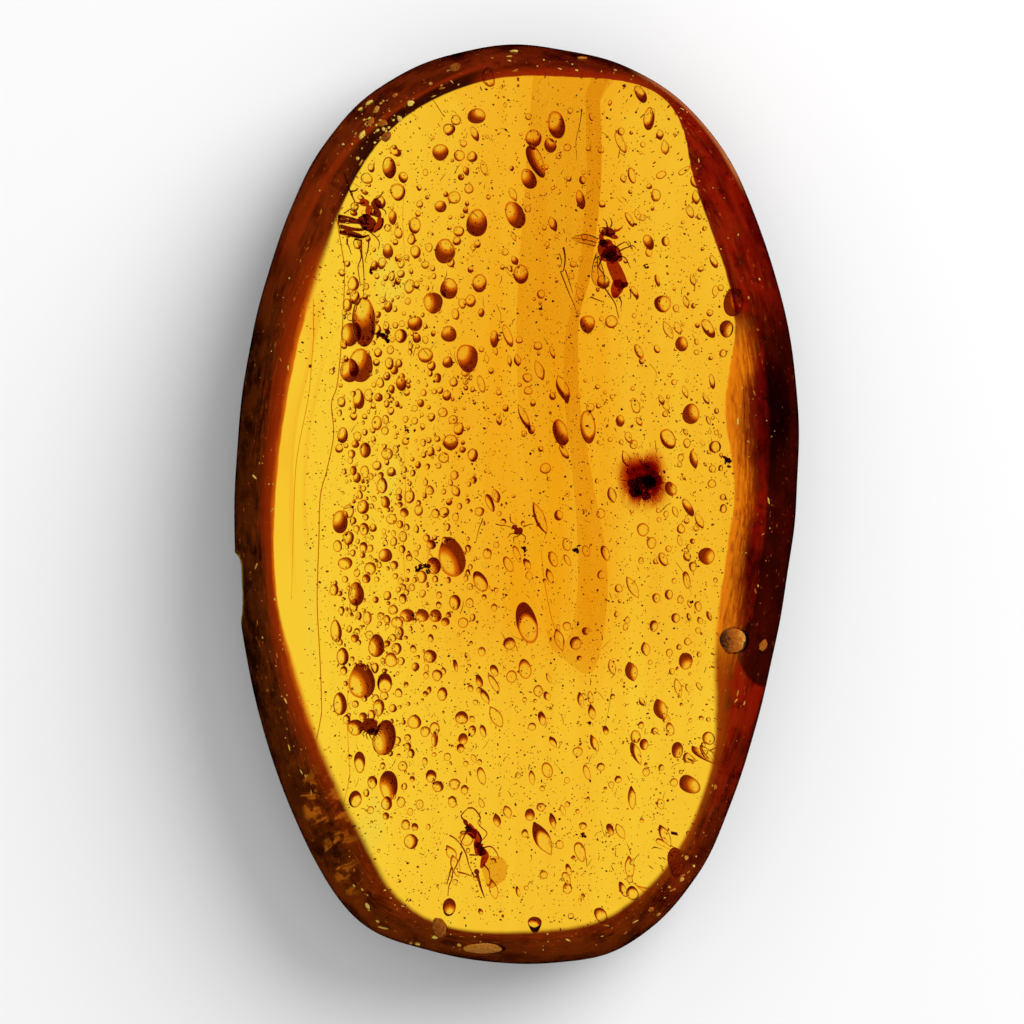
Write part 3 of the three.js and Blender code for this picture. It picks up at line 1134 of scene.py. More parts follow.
class AMBER_OT_flows(bpy.types.Operator):
    """Lay the tongue of darker resin and the seams where one pour met the next."""

    bl_idname = "amber.flows"
    bl_label = "Flow Lines"

    def execute(self, context):
        tongue_resin = tinted_resin("tongue_resin", (1.0, 1.0, 1.0, 1), (0.9, 0.74, 0.4, 1))
        shape = Shape()
        left, right = at_height(TONGUE_LEFT, 2.6), at_height(TONGUE_RIGHT, 2.6)
        points, faces = sheet(left, right, 30, 0.4, 0.5, 10)
        shape.add(points, faces, 0.1 + 0.36 * np.clip((points[:, 1] + 1) / 10, 0, 1))
        left, right = at_height(STRIP_LEFT, 3.6), at_height(STRIP_RIGHT, 3.6)
        points, faces = sheet(left, right, 20, 0.4, 0.5, 10)
        shape.add(points, faces, 0.44)
        piece("flow_tongue", shape, tongue_resin)
        seam_resin = tinted_resin("seam_resin", (0.9, 0.7, 0.4, 1), (0.62, 0.34, 0.12, 1))
        for name, (width, path) in SEAMS.items():
            shape = Shape()
            line = at_height(path, 3.6)
            radii = [width * 0.4] + [width] * (len(line) - 2) + [width * 0.4]
            shape.limb(line, radii, sides=10, tone=0.6 if name == "outer_seam" else 0.2, smooth=8)
            piece(name, shape, seam_resin)
        return {"FINISHED"}


# Dust and fibres


class AMBER_OT_dust(bpy.types.Operator):
    """Scatter the fine dust and the short fibres that the resin trapped."""

    bl_idname = "amber.dust"
    bl_label = "Dust and Fibres"

    def execute(self, context):
        filling = context.scene.amber_filling
        material = tinted_resin("dust", (0.66, 0.4, 0.22, 1), (0.2, 0.06, 0.03, 1))
        rng = random.Random(5)
        octahedron = np.array([(1, 0, 0), (-1, 0, 0), (0, 1, 0), (0, -1, 0), (0, 0, 1), (0, 0, -1)], float)
        sides = [(0, 2, 4), (2, 1, 4), (1, 3, 4), (3, 0, 4), (2, 0, 5), (1, 2, 5), (3, 1, 5), (0, 3, 5)]
        shape = Shape()
        for _ in range(filling.dust):
            x, y = rng.uniform(-9.6, 10.4), rng.uniform(-19, 19.5)
            size = min(0.07, rng.lognormvariate(math.log(0.023), 0.45))
            stretch = (rng.uniform(0.7, 1.6), rng.uniform(0.7, 1.6), 1.0)
            turn = (rng.uniform(0, 180), rng.uniform(0, 180), rng.uniform(0, 180))
            if inside_window(x, y, -0.15):
                spot = (x, y, rng.uniform(0.9, 7.0))
                shape.add(turned(octahedron * stretch * size, turn) + spot, sides, rng.random())
        piece("dust", shape, material)
        shape = Shape()
        for _ in range(filling.strokes):
            x, y = rng.uniform(-8.5, 9.8), rng.uniform(-17.5, 18.5)
            if not inside_window(x, y, -0.15):
                continue
            heading = rng.gauss(1.57, 0.55)
            length = rng.uniform(0.06, 0.3) * rng.choice((1, 1, 1, 2.2))
            bend = rng.uniform(-0.5, 0.5)
            z = rng.uniform(1.2, 6.8)
            path = [(x, y, z)]
            for _ in range(3):
                heading += bend * rng.uniform(0.3, 1.0)
                x += math.cos(heading) * length / 3
                y += math.sin(heading) * length / 3
                path.append((x, y, z + rng.uniform(-0.05, 0.05)))
            radius = rng.uniform(0.008, 0.017)
            radii = [radius, radius * 1.2, radius, radius * 0.4]
            shape.limb(path, radii, sides=5, tone=rng.random(), smooth=2)
        piece("fibres", shape, material, smooth=True)
        return {"FINISHED"}


# Insects


def thin_glass(recipe, colour):
    """See-through tissue, which hardly bends the light where it meets the resin."""
    values = {"Color": colour, "Roughness": 0.0, "IOR": 1.03}
    return recipe.node("ShaderNodeBsdfGlass", {}, values)


def cuticle_material():
    """Insect skin: dark red-brown and shiny, clearing to see-through orange brown where the tone rises."""
    recipe = Recipe("insect_shell")
    dark = tuple(bpy.context.scene.amber_filling.cuticle)
    grain = recipe.noise(9000.0, 3.0)
    values = {
        "Base Color": recipe.mix(grain.eased(0.35, 0.7), dark + (1,), (0.16, 0.03, 0.008, 1)),
        "Roughness": 0.35,
    }
    solid = recipe.node("ShaderNodeBsdfPrincipled", {}, values)
    clear = thin_glass(recipe, (0.62, 0.22, 0.08, 1))
    thin = 0.6 + (recipe.attribute("tone") + (grain - 0.5) * 0.5).eased(-0.2, 0.75) * 0.4
    return recipe.finish(recipe.node("ShaderNodeMixShader", {}, {0: thin, 1: solid, 2: clear}))


def wing_material():
    recipe = Recipe("insect_wing")
    clear = thin_glass(recipe, (0.93, 0.8, 0.62, 1))
    values = {"Base Color": (0.03, 0.008, 0.003, 1), "Roughness": 0.4}
    vein = recipe.node("ShaderNodeBsdfPrincipled", {}, values)
    tone = recipe.attribute("tone").eased(0.5, 1.0)
    return recipe.finish(recipe.node("ShaderNodeMixShader", {}, {0: tone, 1: clear, 2: vein}))


MADE = {}


def shared(name, make):
    """A material that several pieces share, made the first time it is asked for."""
    if name not in MADE:
        MADE[name] = make()
    return MADE[name]


def shell():
    return shared("shell", cuticle_material)


def wings():
    return shared("wings", wing_material)


def lift(path, z):
    """A path of x and y, or of x, y and height above z, at its place in the stone."""
    return [(p[0], p[1], z + (p[2] if len(p) > 2 else 0.0)) for p in path]


def leg(shape, path, z, thick=0.03, tone=0.0, hairs=0, seed=0):
    """A jointed leg or feeler that thins towards its tip, with short hairs along it."""
    count = len(path)
    radii = [thick * (1 - 0.6 * k / max(1, count - 1)) for k in range(count)]
    placed = lift(path, z)
    shape.limb(placed, radii, sides=6, tone=tone, smooth=5)
    rng = random.Random(seed)
    for _ in range(hairs):
        part = rng.uniform(0, count - 1.001)
        k = int(part)
        a, b = np.array(placed[k]), np.array(placed[k + 1])
        root = a + (b - a) * (part - k)
        tip = root + np.array([rng.uniform(-1, 1), rng.uniform(-1, 1), rng.uniform(-0.3, 0.3)]) * 0.09
        shape.limb([root, tip], [thick * 0.25, thick * 0.1], sides=4, tone=tone, smooth=1)


def blade(shape, edge_a, edge_b, z, tone=0.0):
    """A wing's membrane between its two edges."""
    points, faces = sheet(lift(edge_a, z), lift(edge_b, z), 12, 0.02, 0.08)
    shape.add(points, faces, tone)


class AMBER_OT_gnat(bpy.types.Operator):
    """Build the gnat that lies in the upper right of the window."""

    bl_idname = "amber.gnat"
    bl_label = "Gnat"

    def execute(self, context):
        z = 4.6
        body = Shape()
        body.ball((4.1, 12.4, z), (0.34, 0.22, 0.24), (0, 0, -12), 3, 0.05, 0.08, 1)
        body.ball((4.32, 12.22, z), (0.24, 0.13, 0.14), (0, 0, -20), 3, 0.55, 0.14, 2)
        body.limb(lift([(4.42, 12.46), (4.57, 12.49), (4.75, 12.63)], z), [0.07, 0.05, 0.02], tone=0.75)
        neck = [(3.9, 12.35), (3.82, 12.15), (3.9, 11.95), (4.0, 11.8)]
        body.limb(lift(neck, z), [0.12, 0.1, 0.14, 0.2], tone=0.3)
        body.ball((4.08, 11.62, z), (0.4, 0.4, 0.36), (0, 0, 20), 4, 0.35, 0.16, 3)
        body.ball((4.3, 11.42, z - 0.1), (0.38, 0.34, 0.3), (0, 0, 0), 4, 0.4, 0.16, 21)
        body.ball((3.86, 11.9, z), (0.17, 0.14, 0.13), (0, 0, 0), 3, 0.3, 0.14, 22)
        body.ball((3.95, 11.25, z), (0.2, 0.2, 0.18), (0, 0, 0), 3, 0.5, 0.14, 23)
        body.ball((4.3, 11.28, z + 0.1), (0.26, 0.28, 0.25), level=3, tone=0.45, lumps=0.12, seed=4)
        body.ball((4.61, 11.2, z), (0.14, 0.15, 0.12), level=3, tone=0.3, lumps=0.08, seed=5)
        abdomen = [(4.2, 11.2), (4.3, 10.95), (4.46, 10.6), (4.62, 10.25), (4.72, 9.95), (4.74, 9.84)]
        body.limb(lift(abdomen, z), [0.2, 0.27, 0.31, 0.31, 0.28, 0.12], sides=20, tone=0.6, smooth=8)
        tail = [(4.6, 10.1), (4.48, 9.75), (4.4, 9.45)]
        body.limb(lift(tail, z - 0.1), [0.3, 0.28, 0.14], sides=16, tone=0.95)
        body.ball((4.86, 10.0, z + 0.15), (0.17, 0.13, 0.1), (0, 0, 30), 3, 0.3, 0.15, 20)
        piece("gnat_body", body, shell())
        wing = Shape()
        front = [(3.7, 12.11), (3.17, 12.3), (2.65, 12.21), (2.44, 12.14)]
        back = [(3.52, 11.69), (3.14, 11.83), (2.72, 11.91), (2.44, 12.13)]
        blade(wing, front, back, z + 0.1, 0.2)
        front = [(3.56, 11.48), (3.42, 10.95), (3.38, 10.25), (3.56, 9.97), (3.87, 9.91)]
        back = [(3.66, 11.48), (3.73, 11.27), (3.94, 10.57), (3.95, 10.2), (3.88, 9.92)]
        blade(wing, front, back, z - 0.1, 0.2)
        for vein in (
            [(3.7, 12.08), (3.17, 12.27), (2.6, 12.19)],
            [(3.6, 11.9), (3.1, 12.05), (2.5, 12.12)],
            [(3.55, 11.75), (3.14, 11.86), (2.72, 11.94)],
            [(3.6, 11.4), (3.45, 10.9), (3.4, 10.3), (3.6, 9.98)],
            [(3.66, 11.3), (3.65, 10.8), (3.7, 10.2)],
            [(3.7, 11.3), (3.9, 10.6), (3.9, 10.0)],
        ):
            leg(wing, vein, z, 0.022, 1.0)
        piece("gnat_wings", wing, wings())
        legs = Shape()
        for k, path in enumerate(
            (
                [(4.43, 11.69), (4.66, 11.86), (4.89, 11.95), (5.0, 11.8)],
                [(4.57, 11.51), (4.82, 11.66), (5.06, 11.74), (5.1, 11.9), (4.99, 12.0)],
                [(5.06, 11.74), (5.22, 11.78), (5.34, 11.69)],
                [(4.5, 11.3), (4.85, 11.25), (5.0, 11.0), (5.12, 10.75)],
                [(3.94, 9.87), (4.2, 9.5), (4.43, 9.14), (4.52, 8.8), (4.61, 8.45)],
                [(3.33, 9.45), (3.6, 9.33), (3.92, 9.22)],
                [(5.1, 9.8), (5.14, 9.6), (5.11, 9.35)],
                [(3.85, 11.2), (3.7, 10.8), (3.95, 10.4), (3.94, 9.9)],
                [(4.6, 9.45), (4.72, 9.2), (4.68, 8.95)],
                [(4.1, 12.6), (4.05, 12.85), (3.9, 13.0)],
                [(4.25, 12.62), (4.3, 12.85), (4.22, 13.02)],
            )
        ):
            leg(legs, path, z + 0.05 * (k % 3), 0.036, 0.1, hairs=8, seed=k)
        piece("gnat_legs", legs, shell())
        lost = Shape()
        leg(lost, [(2.13, 11.69), (2.2, 11.2), (2.13, 10.67), (1.99, 10.6)], z, 0.045, 0.0, 6, 31)
        leg(lost, [(1.99, 10.6), (2.3, 9.8), (2.55, 9.2), (2.68, 8.86)], z, 0.03, 0.1, 6, 32)
        leg(lost, [(2.21, 10.67), (2.4, 10.1), (2.54, 9.63)], z, 0.028, 0.1, 4, 33)
        leg(lost, [(1.95, 11.4), (2.05, 11.0), (1.9, 10.75)], z, 0.025, 0.1, 2, 34)
        piece("loose_legs", lost, shell())
        return {"FINISHED"}


class AMBER_OT_midge(bpy.types.Operator):
    """Build the curled midge in the upper left of the window."""

    bl_idname = "amber.midge"
    bl_label = "Midge"

    def execute(self, context):
        z = 4.4
        body = Shape()
        body.ball((-6.72, 12.77, z), (0.32, 0.36, 0.26), (0, 0, 15), 4, 0.02, 0.16, 1)
        body.limb(lift([(-6.75, 12.9), (-6.84, 13.16)], z), [0.1, 0.02])
        body.ball((-6.28, 13.65, z), (0.2, 0.26, 0.2), (0, 0, -10), 3, 0.08, 0.12, 2)
        body.ball((-6.28, 13.23, z), (0.17, 0.19, 0.16), level=3, tone=0.1, lumps=0.12, seed=3)
        abdomen = [(-6.16, 13.02), (-6.17, 12.85), (-6.25, 12.68), (-6.47, 12.5), (-6.65, 12.43)]
        body.limb(lift(abdomen, z), [0.14, 0.17, 0.17, 0.13, 0.06], sides=14, tone=0.5)
        ridge = [(-6.05, 13.02), (-6.06, 12.8), (-6.16, 12.58), (-6.45, 12.38)]
        body.limb(lift(ridge, z + 0.08), [0.04, 0.05, 0.05, 0.03], tone=0.0)
        body.ball((-6.75, 13.65, z), (0.2, 0.16, 0.14), (0, 0, 20), 3, 0.6, 0.1, 4)
        body.ball((-6.61, 13.3, z), (0.14, 0.28, 0.13), (0, 0, -10), 3, 0.6, 0.1, 5)
        body.ball((-7.3, 12.25, z), (0.42, 0.12, 0.12), (0, 0, -12), 3, 0.1, 0.2, 6)
        piece("midge_body", body, shell())
        legs = Shape()
        feeler = [(-7.4, 14.84), (-7.35, 14.56), (-7.31, 14.28), (-7.26, 14.08), (-7.19, 13.85)]
        paths = (
            feeler + [(-7.12, 13.61), (-7.15, 13.44), (-7.4, 13.25), (-7.59, 13.09)],
            [(-7.26, 14.08), (-7.05, 14.14), (-6.95, 14.25)],
            [(-7.12, 13.61), (-6.9, 13.6), (-6.75, 13.65)],
            [(-7.78, 12.95), (-7.3, 12.9), (-6.9, 12.82)],
            [(-7.78, 12.75), (-7.25, 12.76), (-6.65, 12.74)],
            [(-7.78, 12.98), (-7.84, 12.7), (-7.8, 12.3)],
            [(-7.8, 12.28), (-7.45, 12.2), (-7.03, 12.16), (-6.7, 12.26)],
            [(-7.74, 12.52), (-7.3, 12.46), (-6.95, 12.48), (-6.75, 12.6)],
            [(-7.57, 12.04), (-7.59, 11.86), (-7.55, 11.69), (-7.48, 11.38)],
            [(-7.03, 12.04), (-7.01, 11.48), (-6.93, 10.89), (-6.89, 10.29), (-6.91, 9.53)],
            [(-7.2, 12.0), (-7.03, 11.3), (-7.17, 10.82), (-7.1, 10.29), (-7.05, 9.94)],
            [(-6.68, 12.08), (-6.73, 11.59), (-6.86, 11.03)],
            [(-6.28, 13.85), (-6.1, 14.0), (-5.95, 14.2)],
            [(-6.2, 13.5), (-5.98, 13.4), (-5.9, 13.2)],
            [(-6.9, 12.6), (-6.4, 12.2), (-6.2, 11.9), (-6.25, 11.6)],
        )
        for k, path in enumerate(paths):
            thick = 0.1 if k in (3, 4, 6, 7) else 0.045 if k < 8 else 0.036
            leg(legs, path, z + 0.06 * (k % 3), thick, 0.25 if k in (10, 14) else 0.05, 9, 40 + k)
        piece("midge_legs", legs, shell())
        return {"FINISHED"}


class AMBER_OT_long_fly(bpy.types.Operator):
    """Build the slender long-legged fly at the bottom of the window."""

    bl_idname = "amber.long_fly"
    bl_label = "Long-legged Fly"

    def execute(self, context):
        z = 4.5
        body = Shape()
        body.ball((-2.3, -14.42, z), (0.1, 0.16, 0.1), (0, 0, 30), 3, 0.1, 0.1, 1)
        body.ball((-2.05, -14.8, z - 0.1), (0.22, 0.38, 0.18), (0, 0, 28), 3, 0.6, 0.14, 5)
        body.ball((-1.72, -15.6, z - 0.1), (0.2, 0.34, 0.18), (0, 0, 10), 3, 0.6, 0.2, 6)
        body.ball((-2.17, -14.68, z), (0.14, 0.17, 0.13), (0, 0, 25), 3, 0.0, 0.15, 2)
        waist = [(-2.1, -14.75), (-1.87, -14.85), (-1.75, -15.14), (-1.82, -15.4), (-1.73, -15.5)]
        body.limb(lift(waist, z), [0.09, 0.14, 0.16, 0.13, 0.12], sides=12, tone=0.9)
        ridge = [(-1.73, -14.85), (-1.6, -15.15), (-1.65, -15.42)]
        body.limb(lift(ridge, z + 0.08), [0.04, 0.05, 0.04], tone=0.0)
        abdomen = [(-1.73, -15.42), (-1.59, -15.7), (-1.42, -15.91), (-1.5, -16.19), (-1.59, -16.47)]
        body.limb(lift(abdomen, z), [0.14, 0.19, 0.18, 0.14, 0.07], sides=14, tone=0.8)
        body.ball((-1.55, -15.72, z + 0.1), (0.17, 0.2, 0.14), (0, 0, 20), 3, 0.3, 0.16, 3)
        body.ball((-1.8, -16.65, z), (0.12, 0.13, 0.1), level=3, tone=0.1, lumps=0.1, seed=4)
        tail = [(-1.77, -16.75), (-1.63, -17.31), (-1.45, -17.83)]
        body.limb(lift(tail, z), [0.06, 0.05, 0.02], tone=0.1)
        piece("long_fly_body", body, shell())
        legs = Shape()
        fore_leg = [(-2.2, -13.76), (-1.94, -13.78), (-1.64, -14.17), (-1.73, -14.48)]
        long_leg = [(-2.47, -15.74), (-2.67, -16.3), (-2.87, -16.61), (-2.92, -16.96)]
        paths = (
            fore_leg + [(-1.35, -14.86), (-1.42, -15.07), (-1.59, -15.25)],
            [(-2.36, -14.34), (-2.5, -14.1), (-2.2, -13.76)],
            [(-2.55, -14.9), (-2.4, -14.8), (-2.22, -14.86)],
            [(-2.12, -15.88), (-1.8, -15.9), (-1.52, -15.84)],
            [(-2.53, -15.39), (-2.29, -15.84), (-2.15, -16.37), (-2.01, -16.68)],
            [(-2.66, -16.66), (-2.3, -16.75), (-2.01, -16.86)],
            long_leg + [(-3.06, -17.31), (-3.11, -17.76)],
            [(-2.95, -16.47), (-3.05, -16.85), (-3.16, -17.24)],
            [(-3.02, -15.0), (-2.78, -15.14), (-2.53, -15.42)],
            [(-1.6, -15.6), (-1.2, -15.5), (-0.95, -15.7), (-0.8, -16.0)],
            [(-2.01, -16.68), (-1.9, -16.9), (-1.77, -17.0)],
            [(-1.5, -16.3), (-1.25, -16.6), (-1.2, -17.0)],
            [(-2.15, -14.6), (-2.4, -15.1), (-2.53, -15.39)],
        )
        for k, path in enumerate(paths):
            leg(legs, path, z + 0.05 * (k % 3), 0.04, 0.35, 8, 60 + k)
        piece("long_fly_legs", legs, shell())
        wing = Shape()
        front = [(-1.5, -16.0), (-1.1, -15.95), (-0.65, -16.0), (-0.38, -16.4)]
        back = [(-1.55, -16.1), (-1.5, -16.8), (-1.2, -17.4), (-0.5, -17.0)]
        blade(wing, front, back, z + 0.1, 0.1)
        piece("long_fly_wing", wing, wings())
        return {"FINISHED"}


class AMBER_OT_small_life(bpy.types.Operator):
    """Build the mite and the springtail."""

    bl_idname = "amber.small_life"
    bl_label = "Mite and Springtail"

    def execute(self, context):
        z = 5.2
        mite = Shape()
        mite.ball((-6.64, -10.0, z), (0.36, 0.34, 0.25), level=4, lumps=0.1, seed=7)
        mite.ball((-6.55, -10.28, z + 0.05), (0.2, 0.16, 0.14), level=3, lumps=0.14, seed=8)
        for k in range(9):
            angle = math.radians(-165 + 19 * k)
            root = (-6.64 + 0.3 * math.cos(angle), -10.02 + 0.3 * math.sin(angle))
            knee = (-6.64 + 0.5 * math.cos(angle), -10.02 + 0.44 * math.sin(angle))
            foot = (-6.64 + 0.56 * math.cos(angle + 0.2), -10.05 + 0.6 * math.sin(angle))
            leg(mite, [root, knee, foot], z, 0.035, 0.0, 3, 80 + k)
        piece("mite", mite, shell())
        springtail = Shape()
        springtail.ball((0.1, -1.18, z), (0.2, 0.17, 0.15), (0, 0, 20), 3, 0.1, 0.14, 9)
        springtail.ball((-0.08, -1.0, z), (0.13, 0.12, 0.11), level=3, tone=0.2, lumps=0.14, seed=10)
        for k, path in enumerate(
            (
                [(-0.94, -0.86), (-0.7, -0.93), (-0.49, -0.94), (-0.09, -1.06)],
                [(-0.29, -0.53), (-0.25, -0.77), (-0.09, -0.86)],
                [(0.24, -1.26), (0.04, -1.43), (-0.13, -1.47), (-0.11, -1.75)],
                [(0.32, -0.98), (0.55, -0.9), (0.77, -0.86)],
                [(0.2, -1.3), (0.4, -1.45), (0.36, -1.7)],
                [(0.0, -1.3), (-0.25, -1.3), (-0.4, -1.5)],
            )
        ):
            leg(springtail, path, z, 0.028, 0.05, 5, 90 + k)
        piece("springtail", springtail, shell())
        return {"FINISHED"}


# The stain and the debris


def stain_material():
    """Resin dyed dark red where the tone is high, with paler threads through it."""
    recipe = Recipe("stain_cloud")

    def glass(colour):
        return recipe.node("ShaderNodeBsdfGlass", {}, {"Color": colour, "Roughness": 0.0, "IOR": 1.002})

    threads = recipe.noise(1.0, 3.0, recipe.stretched(1500.0, 700.0, 200.0), 0.6, 1.4)
    dyed = recipe.attribute("tone") * (1 - threads.eased(0.52, 0.64) * 0.55)
    mixed = {0: dyed, 1: glass((1, 1, 1, 1)), 2: glass((0.62, 0.16, 0.04, 1))}
    return recipe.finish(recipe.node("ShaderNodeMixShader", {}, mixed))


class AMBER_OT_stain(bpy.types.Operator):
    """Build the clot of dark red matter and the cloud that spreads from it."""

    bl_idname = "amber.stain"
    bl_label = "Red Stain"

    def execute(self, context):
        x, y, z = 5.8, 1.19, 4.0
        cloud = Shape()
        for size, start, full, seed in ((1.75, 0.88, 0.34, 11), (1.25, 0.84, 0.5, 12)):
            points, faces = unit_ball(6)
            uneven = 1 + 0.13 * waves(points * 2.6, seed) + 0.05 * waves(points * 9, seed + 20)
            along, across = points[:, 0] + 0.2 * points[:, 1], points[:, 1] - 0.2 * points[:, 0]
            away = (np.abs(along) ** 3.2 + np.abs(across) ** 3.2) ** (1 / 3.2) * uneven
            tone = np.clip((start - away) / (start - full), 0, 1)
            spot = (x - 0.12 * (12 - seed), y - 0.05, z - 0.8 * (seed - 11))
            cloud.add(points * (size * 0.86, size, 0.35) + spot, faces, tone * tone * (3 - 2 * tone))
        piece("stain_cloud", cloud, stain_material())
        rng = random.Random(77)
        clot = Shape()
        z += 1.1
        for k in range(20):
            angle, away = rng.uniform(0, 6.3), rng.uniform(0.1, 0.8) ** 0.7 * 0.86
            size = rng.uniform(0.12, 0.3)
            across, along = away * math.cos(angle) * 0.85 - 0.05, away * math.sin(angle) - 0.05
            spot = (x + across, y + along, z + rng.uniform(-0.25, 0.3))
            radii = (size, size * rng.uniform(0.6, 1.3), size * 0.7)
            tone = rng.choice((0.1, 0.4, 0.7, 1.0))
            clot.ball(spot, radii, (0, 0, rng.uniform(0, 180)), 3, tone, 0.22, k)
        for k in range(30):
            angle = rng.uniform(0, 6.3)
            start = (x + 0.5 * math.cos(angle), y + 0.6 * math.sin(angle))
            path = [start]
            for _ in range(3):
                angle += rng.uniform(-0.5, 0.5)
                length = rng.uniform(0.08, 0.26)
                last_x, last_y = path[-1]
                path.append((last_x + length * math.cos(angle), last_y + length * math.sin(angle)))
            height = z + rng.uniform(-0.2, 0.3)
            thick = rng.uniform(0.012, 0.026)
            leg(clot, path, height, thick, rng.uniform(0.0, 0.6), 0, k)
        matter = tinted_resin("clotted_matter", (0.8, 0.36, 0.16, 1), (0.46, 0.06, 0.03, 1))
        piece("stain_clot", clot, matter)
        return {"FINISHED"}


class AMBER_OT_debris(bpy.types.Operator):
    """Scatter the larger bits of plant matter, and the hairs and threads."""

    bl_idname = "amber.debris"
    bl_label = "Plant Debris"

    def execute(self, context):
        material = tinted_resin("plant_debris", (0.3, 0.1, 0.04, 1), (0.12, 0.03, 0.01, 1))
        rng = random.Random(9)
        bits = Shape()
        for x, y, size in (
            (9.57, 1.95, 0.17),
            (5.81, 10.87, 0.1),
            (-6.56, 10.57, 0.12),
            (2.71, -2.02, 0.13),
            (0.36, -1.96, 0.12),
            (-4.26, -2.78, 0.16),
            (-4.5, -2.95, 0.11),
            (-4.0, -3.0, 0.12),
            (-5.3, -5.9, 0.1),
            (2.99, -15.0, 0.09),
            (-6.02, 7.74, 0.2),
            (-5.85, 7.5, 0.12),
            (-4.9, 3.4, 0.08),
            (1.1, 8.9, 0.07),
            (7.9, -4.4, 0.07),
            (-1.9, 4.6, 0.06),
            (3.3, -9.9, 0.07),
        ):
            for _ in range(5):
                off_x, off_y = rng.gauss(0, size * 0.6), rng.gauss(0, size * 0.6)
                spot = (x + off_x, y + off_y, 4.4 + rng.uniform(-0.2, 0.2))
                radii = (size * rng.uniform(0.4, 0.9), size * rng.uniform(0.3, 0.7), size * 0.5)
                turn = (0, 0, rng.uniform(0, 180))
                tone = rng.random() * 0.3
                bits.ball(spot, radii, turn, 3, tone, 0.25, rng.randrange(999))
        piece("plant_bits", bits, material)
        threads = Shape()
        for path, thick in (
            ([(2.97, 17.96), (2.85, 17.2), (2.69, 16.47), (2.74, 15.63)], 0.02),
            ([(-1.51, -0.61), (-1.7, -1.1), (-1.84, -1.71)], 0.022),
            ([(4.3, -8.3), (4.15, -9.3), (3.95, -10.2)], 0.012),
            ([(-4.6, -2.4), (-4.2, -2.7), (-3.9, -2.9), (-3.5, -3.2)], 0.02),
            ([(7.2, -2.6), (7.6, -3.2), (7.9, -4.1)], 0.012),
            ([(6.0, 6.4), (6.3, 6.0), (6.2, 5.4)], 0.012),
            ([(-0.9, 9.1), (-0.7, 8.6), (-0.8, 8.0)], 0.012),
        ):
            leg(threads, path, 4.8, thick, 0.1, 0)
        piece("plant_threads", threads, material)
        return {"FINISHED"}


# Crumbs and glints in the rim


def spangle_material():
    """Small crumbs and glints: rust brown and orange as the crumbs' own colour, and pale gold as the tone
    rises, a painted glint of the light that they catch.
    """
    recipe = Recipe("rim_glints")
    tone = recipe.attribute("tone") + (recipe.noise(9000.0, 2.0) - 0.5) * 0.65
    colour = recipe.mix(tone.eased(0.0, 0.5), (0.05, 0.01, 0.002, 1), (0.52, 0.13, 0.005, 1))
    colour = recipe.mix(tone.eased(0.45, 1.0), colour, (0.95, 0.68, 0.1, 1))
    values = {"Base Color": colour, "Roughness": 0.3, "Transmission Weight": 0.25, "IOR": 1.3}
    return recipe.finish(recipe.node("ShaderNodeBsdfPrincipled", {}, values))


# x and y of each glint, half its width and half its length in millimetres, its turn in degrees and its tone
GLINTS = [
    (-6.7, 18.3, 0.2, 0.15, 40, 0.95),
    (-6.35, 17.95, 0.14, 0.2, 10, 0.6),
    (-7.0, 16.8, 0.12, 0.22, -20, 0.9),
    (-4.8, 18.2, 0.17, 0.14, 20, 0.9),
    (-5.3, 17.5, 0.1, 0.16, 30, 0.8),
    (-6.1, 17.3, 0.22, 0.18, 0, 0.35),
    (-5.9, 16.7, 0.26, 0.2, 30, 0.3),
    (-6.6, 17.4, 0.16, 0.2, 0, 0.45),
    (-7.2, 15.7, 0.09, 0.09, 0, 0.85),
    (-5.5, 18.6, 0.14, 0.1, 30, 0.5),
    (-7.1, 18.0, 0.08, 0.12, 0, 0.95),
    (-3.9, 19.1, 0.09, 0.09, 0, 0.6),
    (-0.1, 20.6, 0.2, 0.09, 0, 0.8),
    (3.0, 20.3, 0.22, 0.1, -10, 0.55),
    (-6.75, -18.2, 0.12, 0.18, 10, 0.9),
    (-6.3, -18.9, 0.09, 0.09, 0, 0.8),
    (-4.5, -19.95, 0.13, 0.09, -12, 0.95),
    (-4.8, -19.9, 0.1, 0.05, 10, 0.7),
    (-3.7, -19.6, 0.13, 0.1, 0, 1.0),
    (-2.6, -19.95, 0.1, 0.08, 0, 0.7),
    (-6.0, -19.2, 0.3, 0.03, -14, 0.8),
    (11.2, -6.4, 0.28, 0.3, 0, 0.36),
    (11.12, -6.45, 0.13, 0.15, 0, 0.55),
    (7.7, -16.0, 0.11, 0.11, 0, 0.6),
    (8.05, -16.4, 0.06, 0.06, 0, 0.8),
    (7.5, -17.0, 0.13, 0.1, 20, 0.7),
    (6.45, -18.6, 0.12, 0.1, 0, 0.6),
    (6.1, -18.35, 0.16, 0.14, 0, 0.4),
    (9.0, -12.8, 0.1, 0.13, 0, 0.5),
]


def lay(shape, x, y, sunk, radii, turn, level, tone, lumps, seed, highlight_to_right=0.0):
    """A flat lumpy ball just under the upper side, sloping as that side does, its tone raised towards the
    right as a painted highlight.
    """
    rise = (top_height(x, y + 0.15) - top_height(x, y - 0.15)) / 0.3
    run = (top_height(x + 0.15, y) - top_height(x - 0.15, y)) / 0.3
    points, faces = unit_ball(level)
    tone = np.clip(tone + highlight_to_right * points[:, 0], 0, 1)
    points = points * (1 + lumps * waves(points * 2.2, seed))[:, None]
    points = turned(points * radii, (0, 0, turn))
    slope = (math.degrees(math.atan(rise)), -math.degrees(math.atan(run)), 0)
    shape.add(turned(points, slope) + (x, y, top_height(x, y) - sunk), faces, tone)


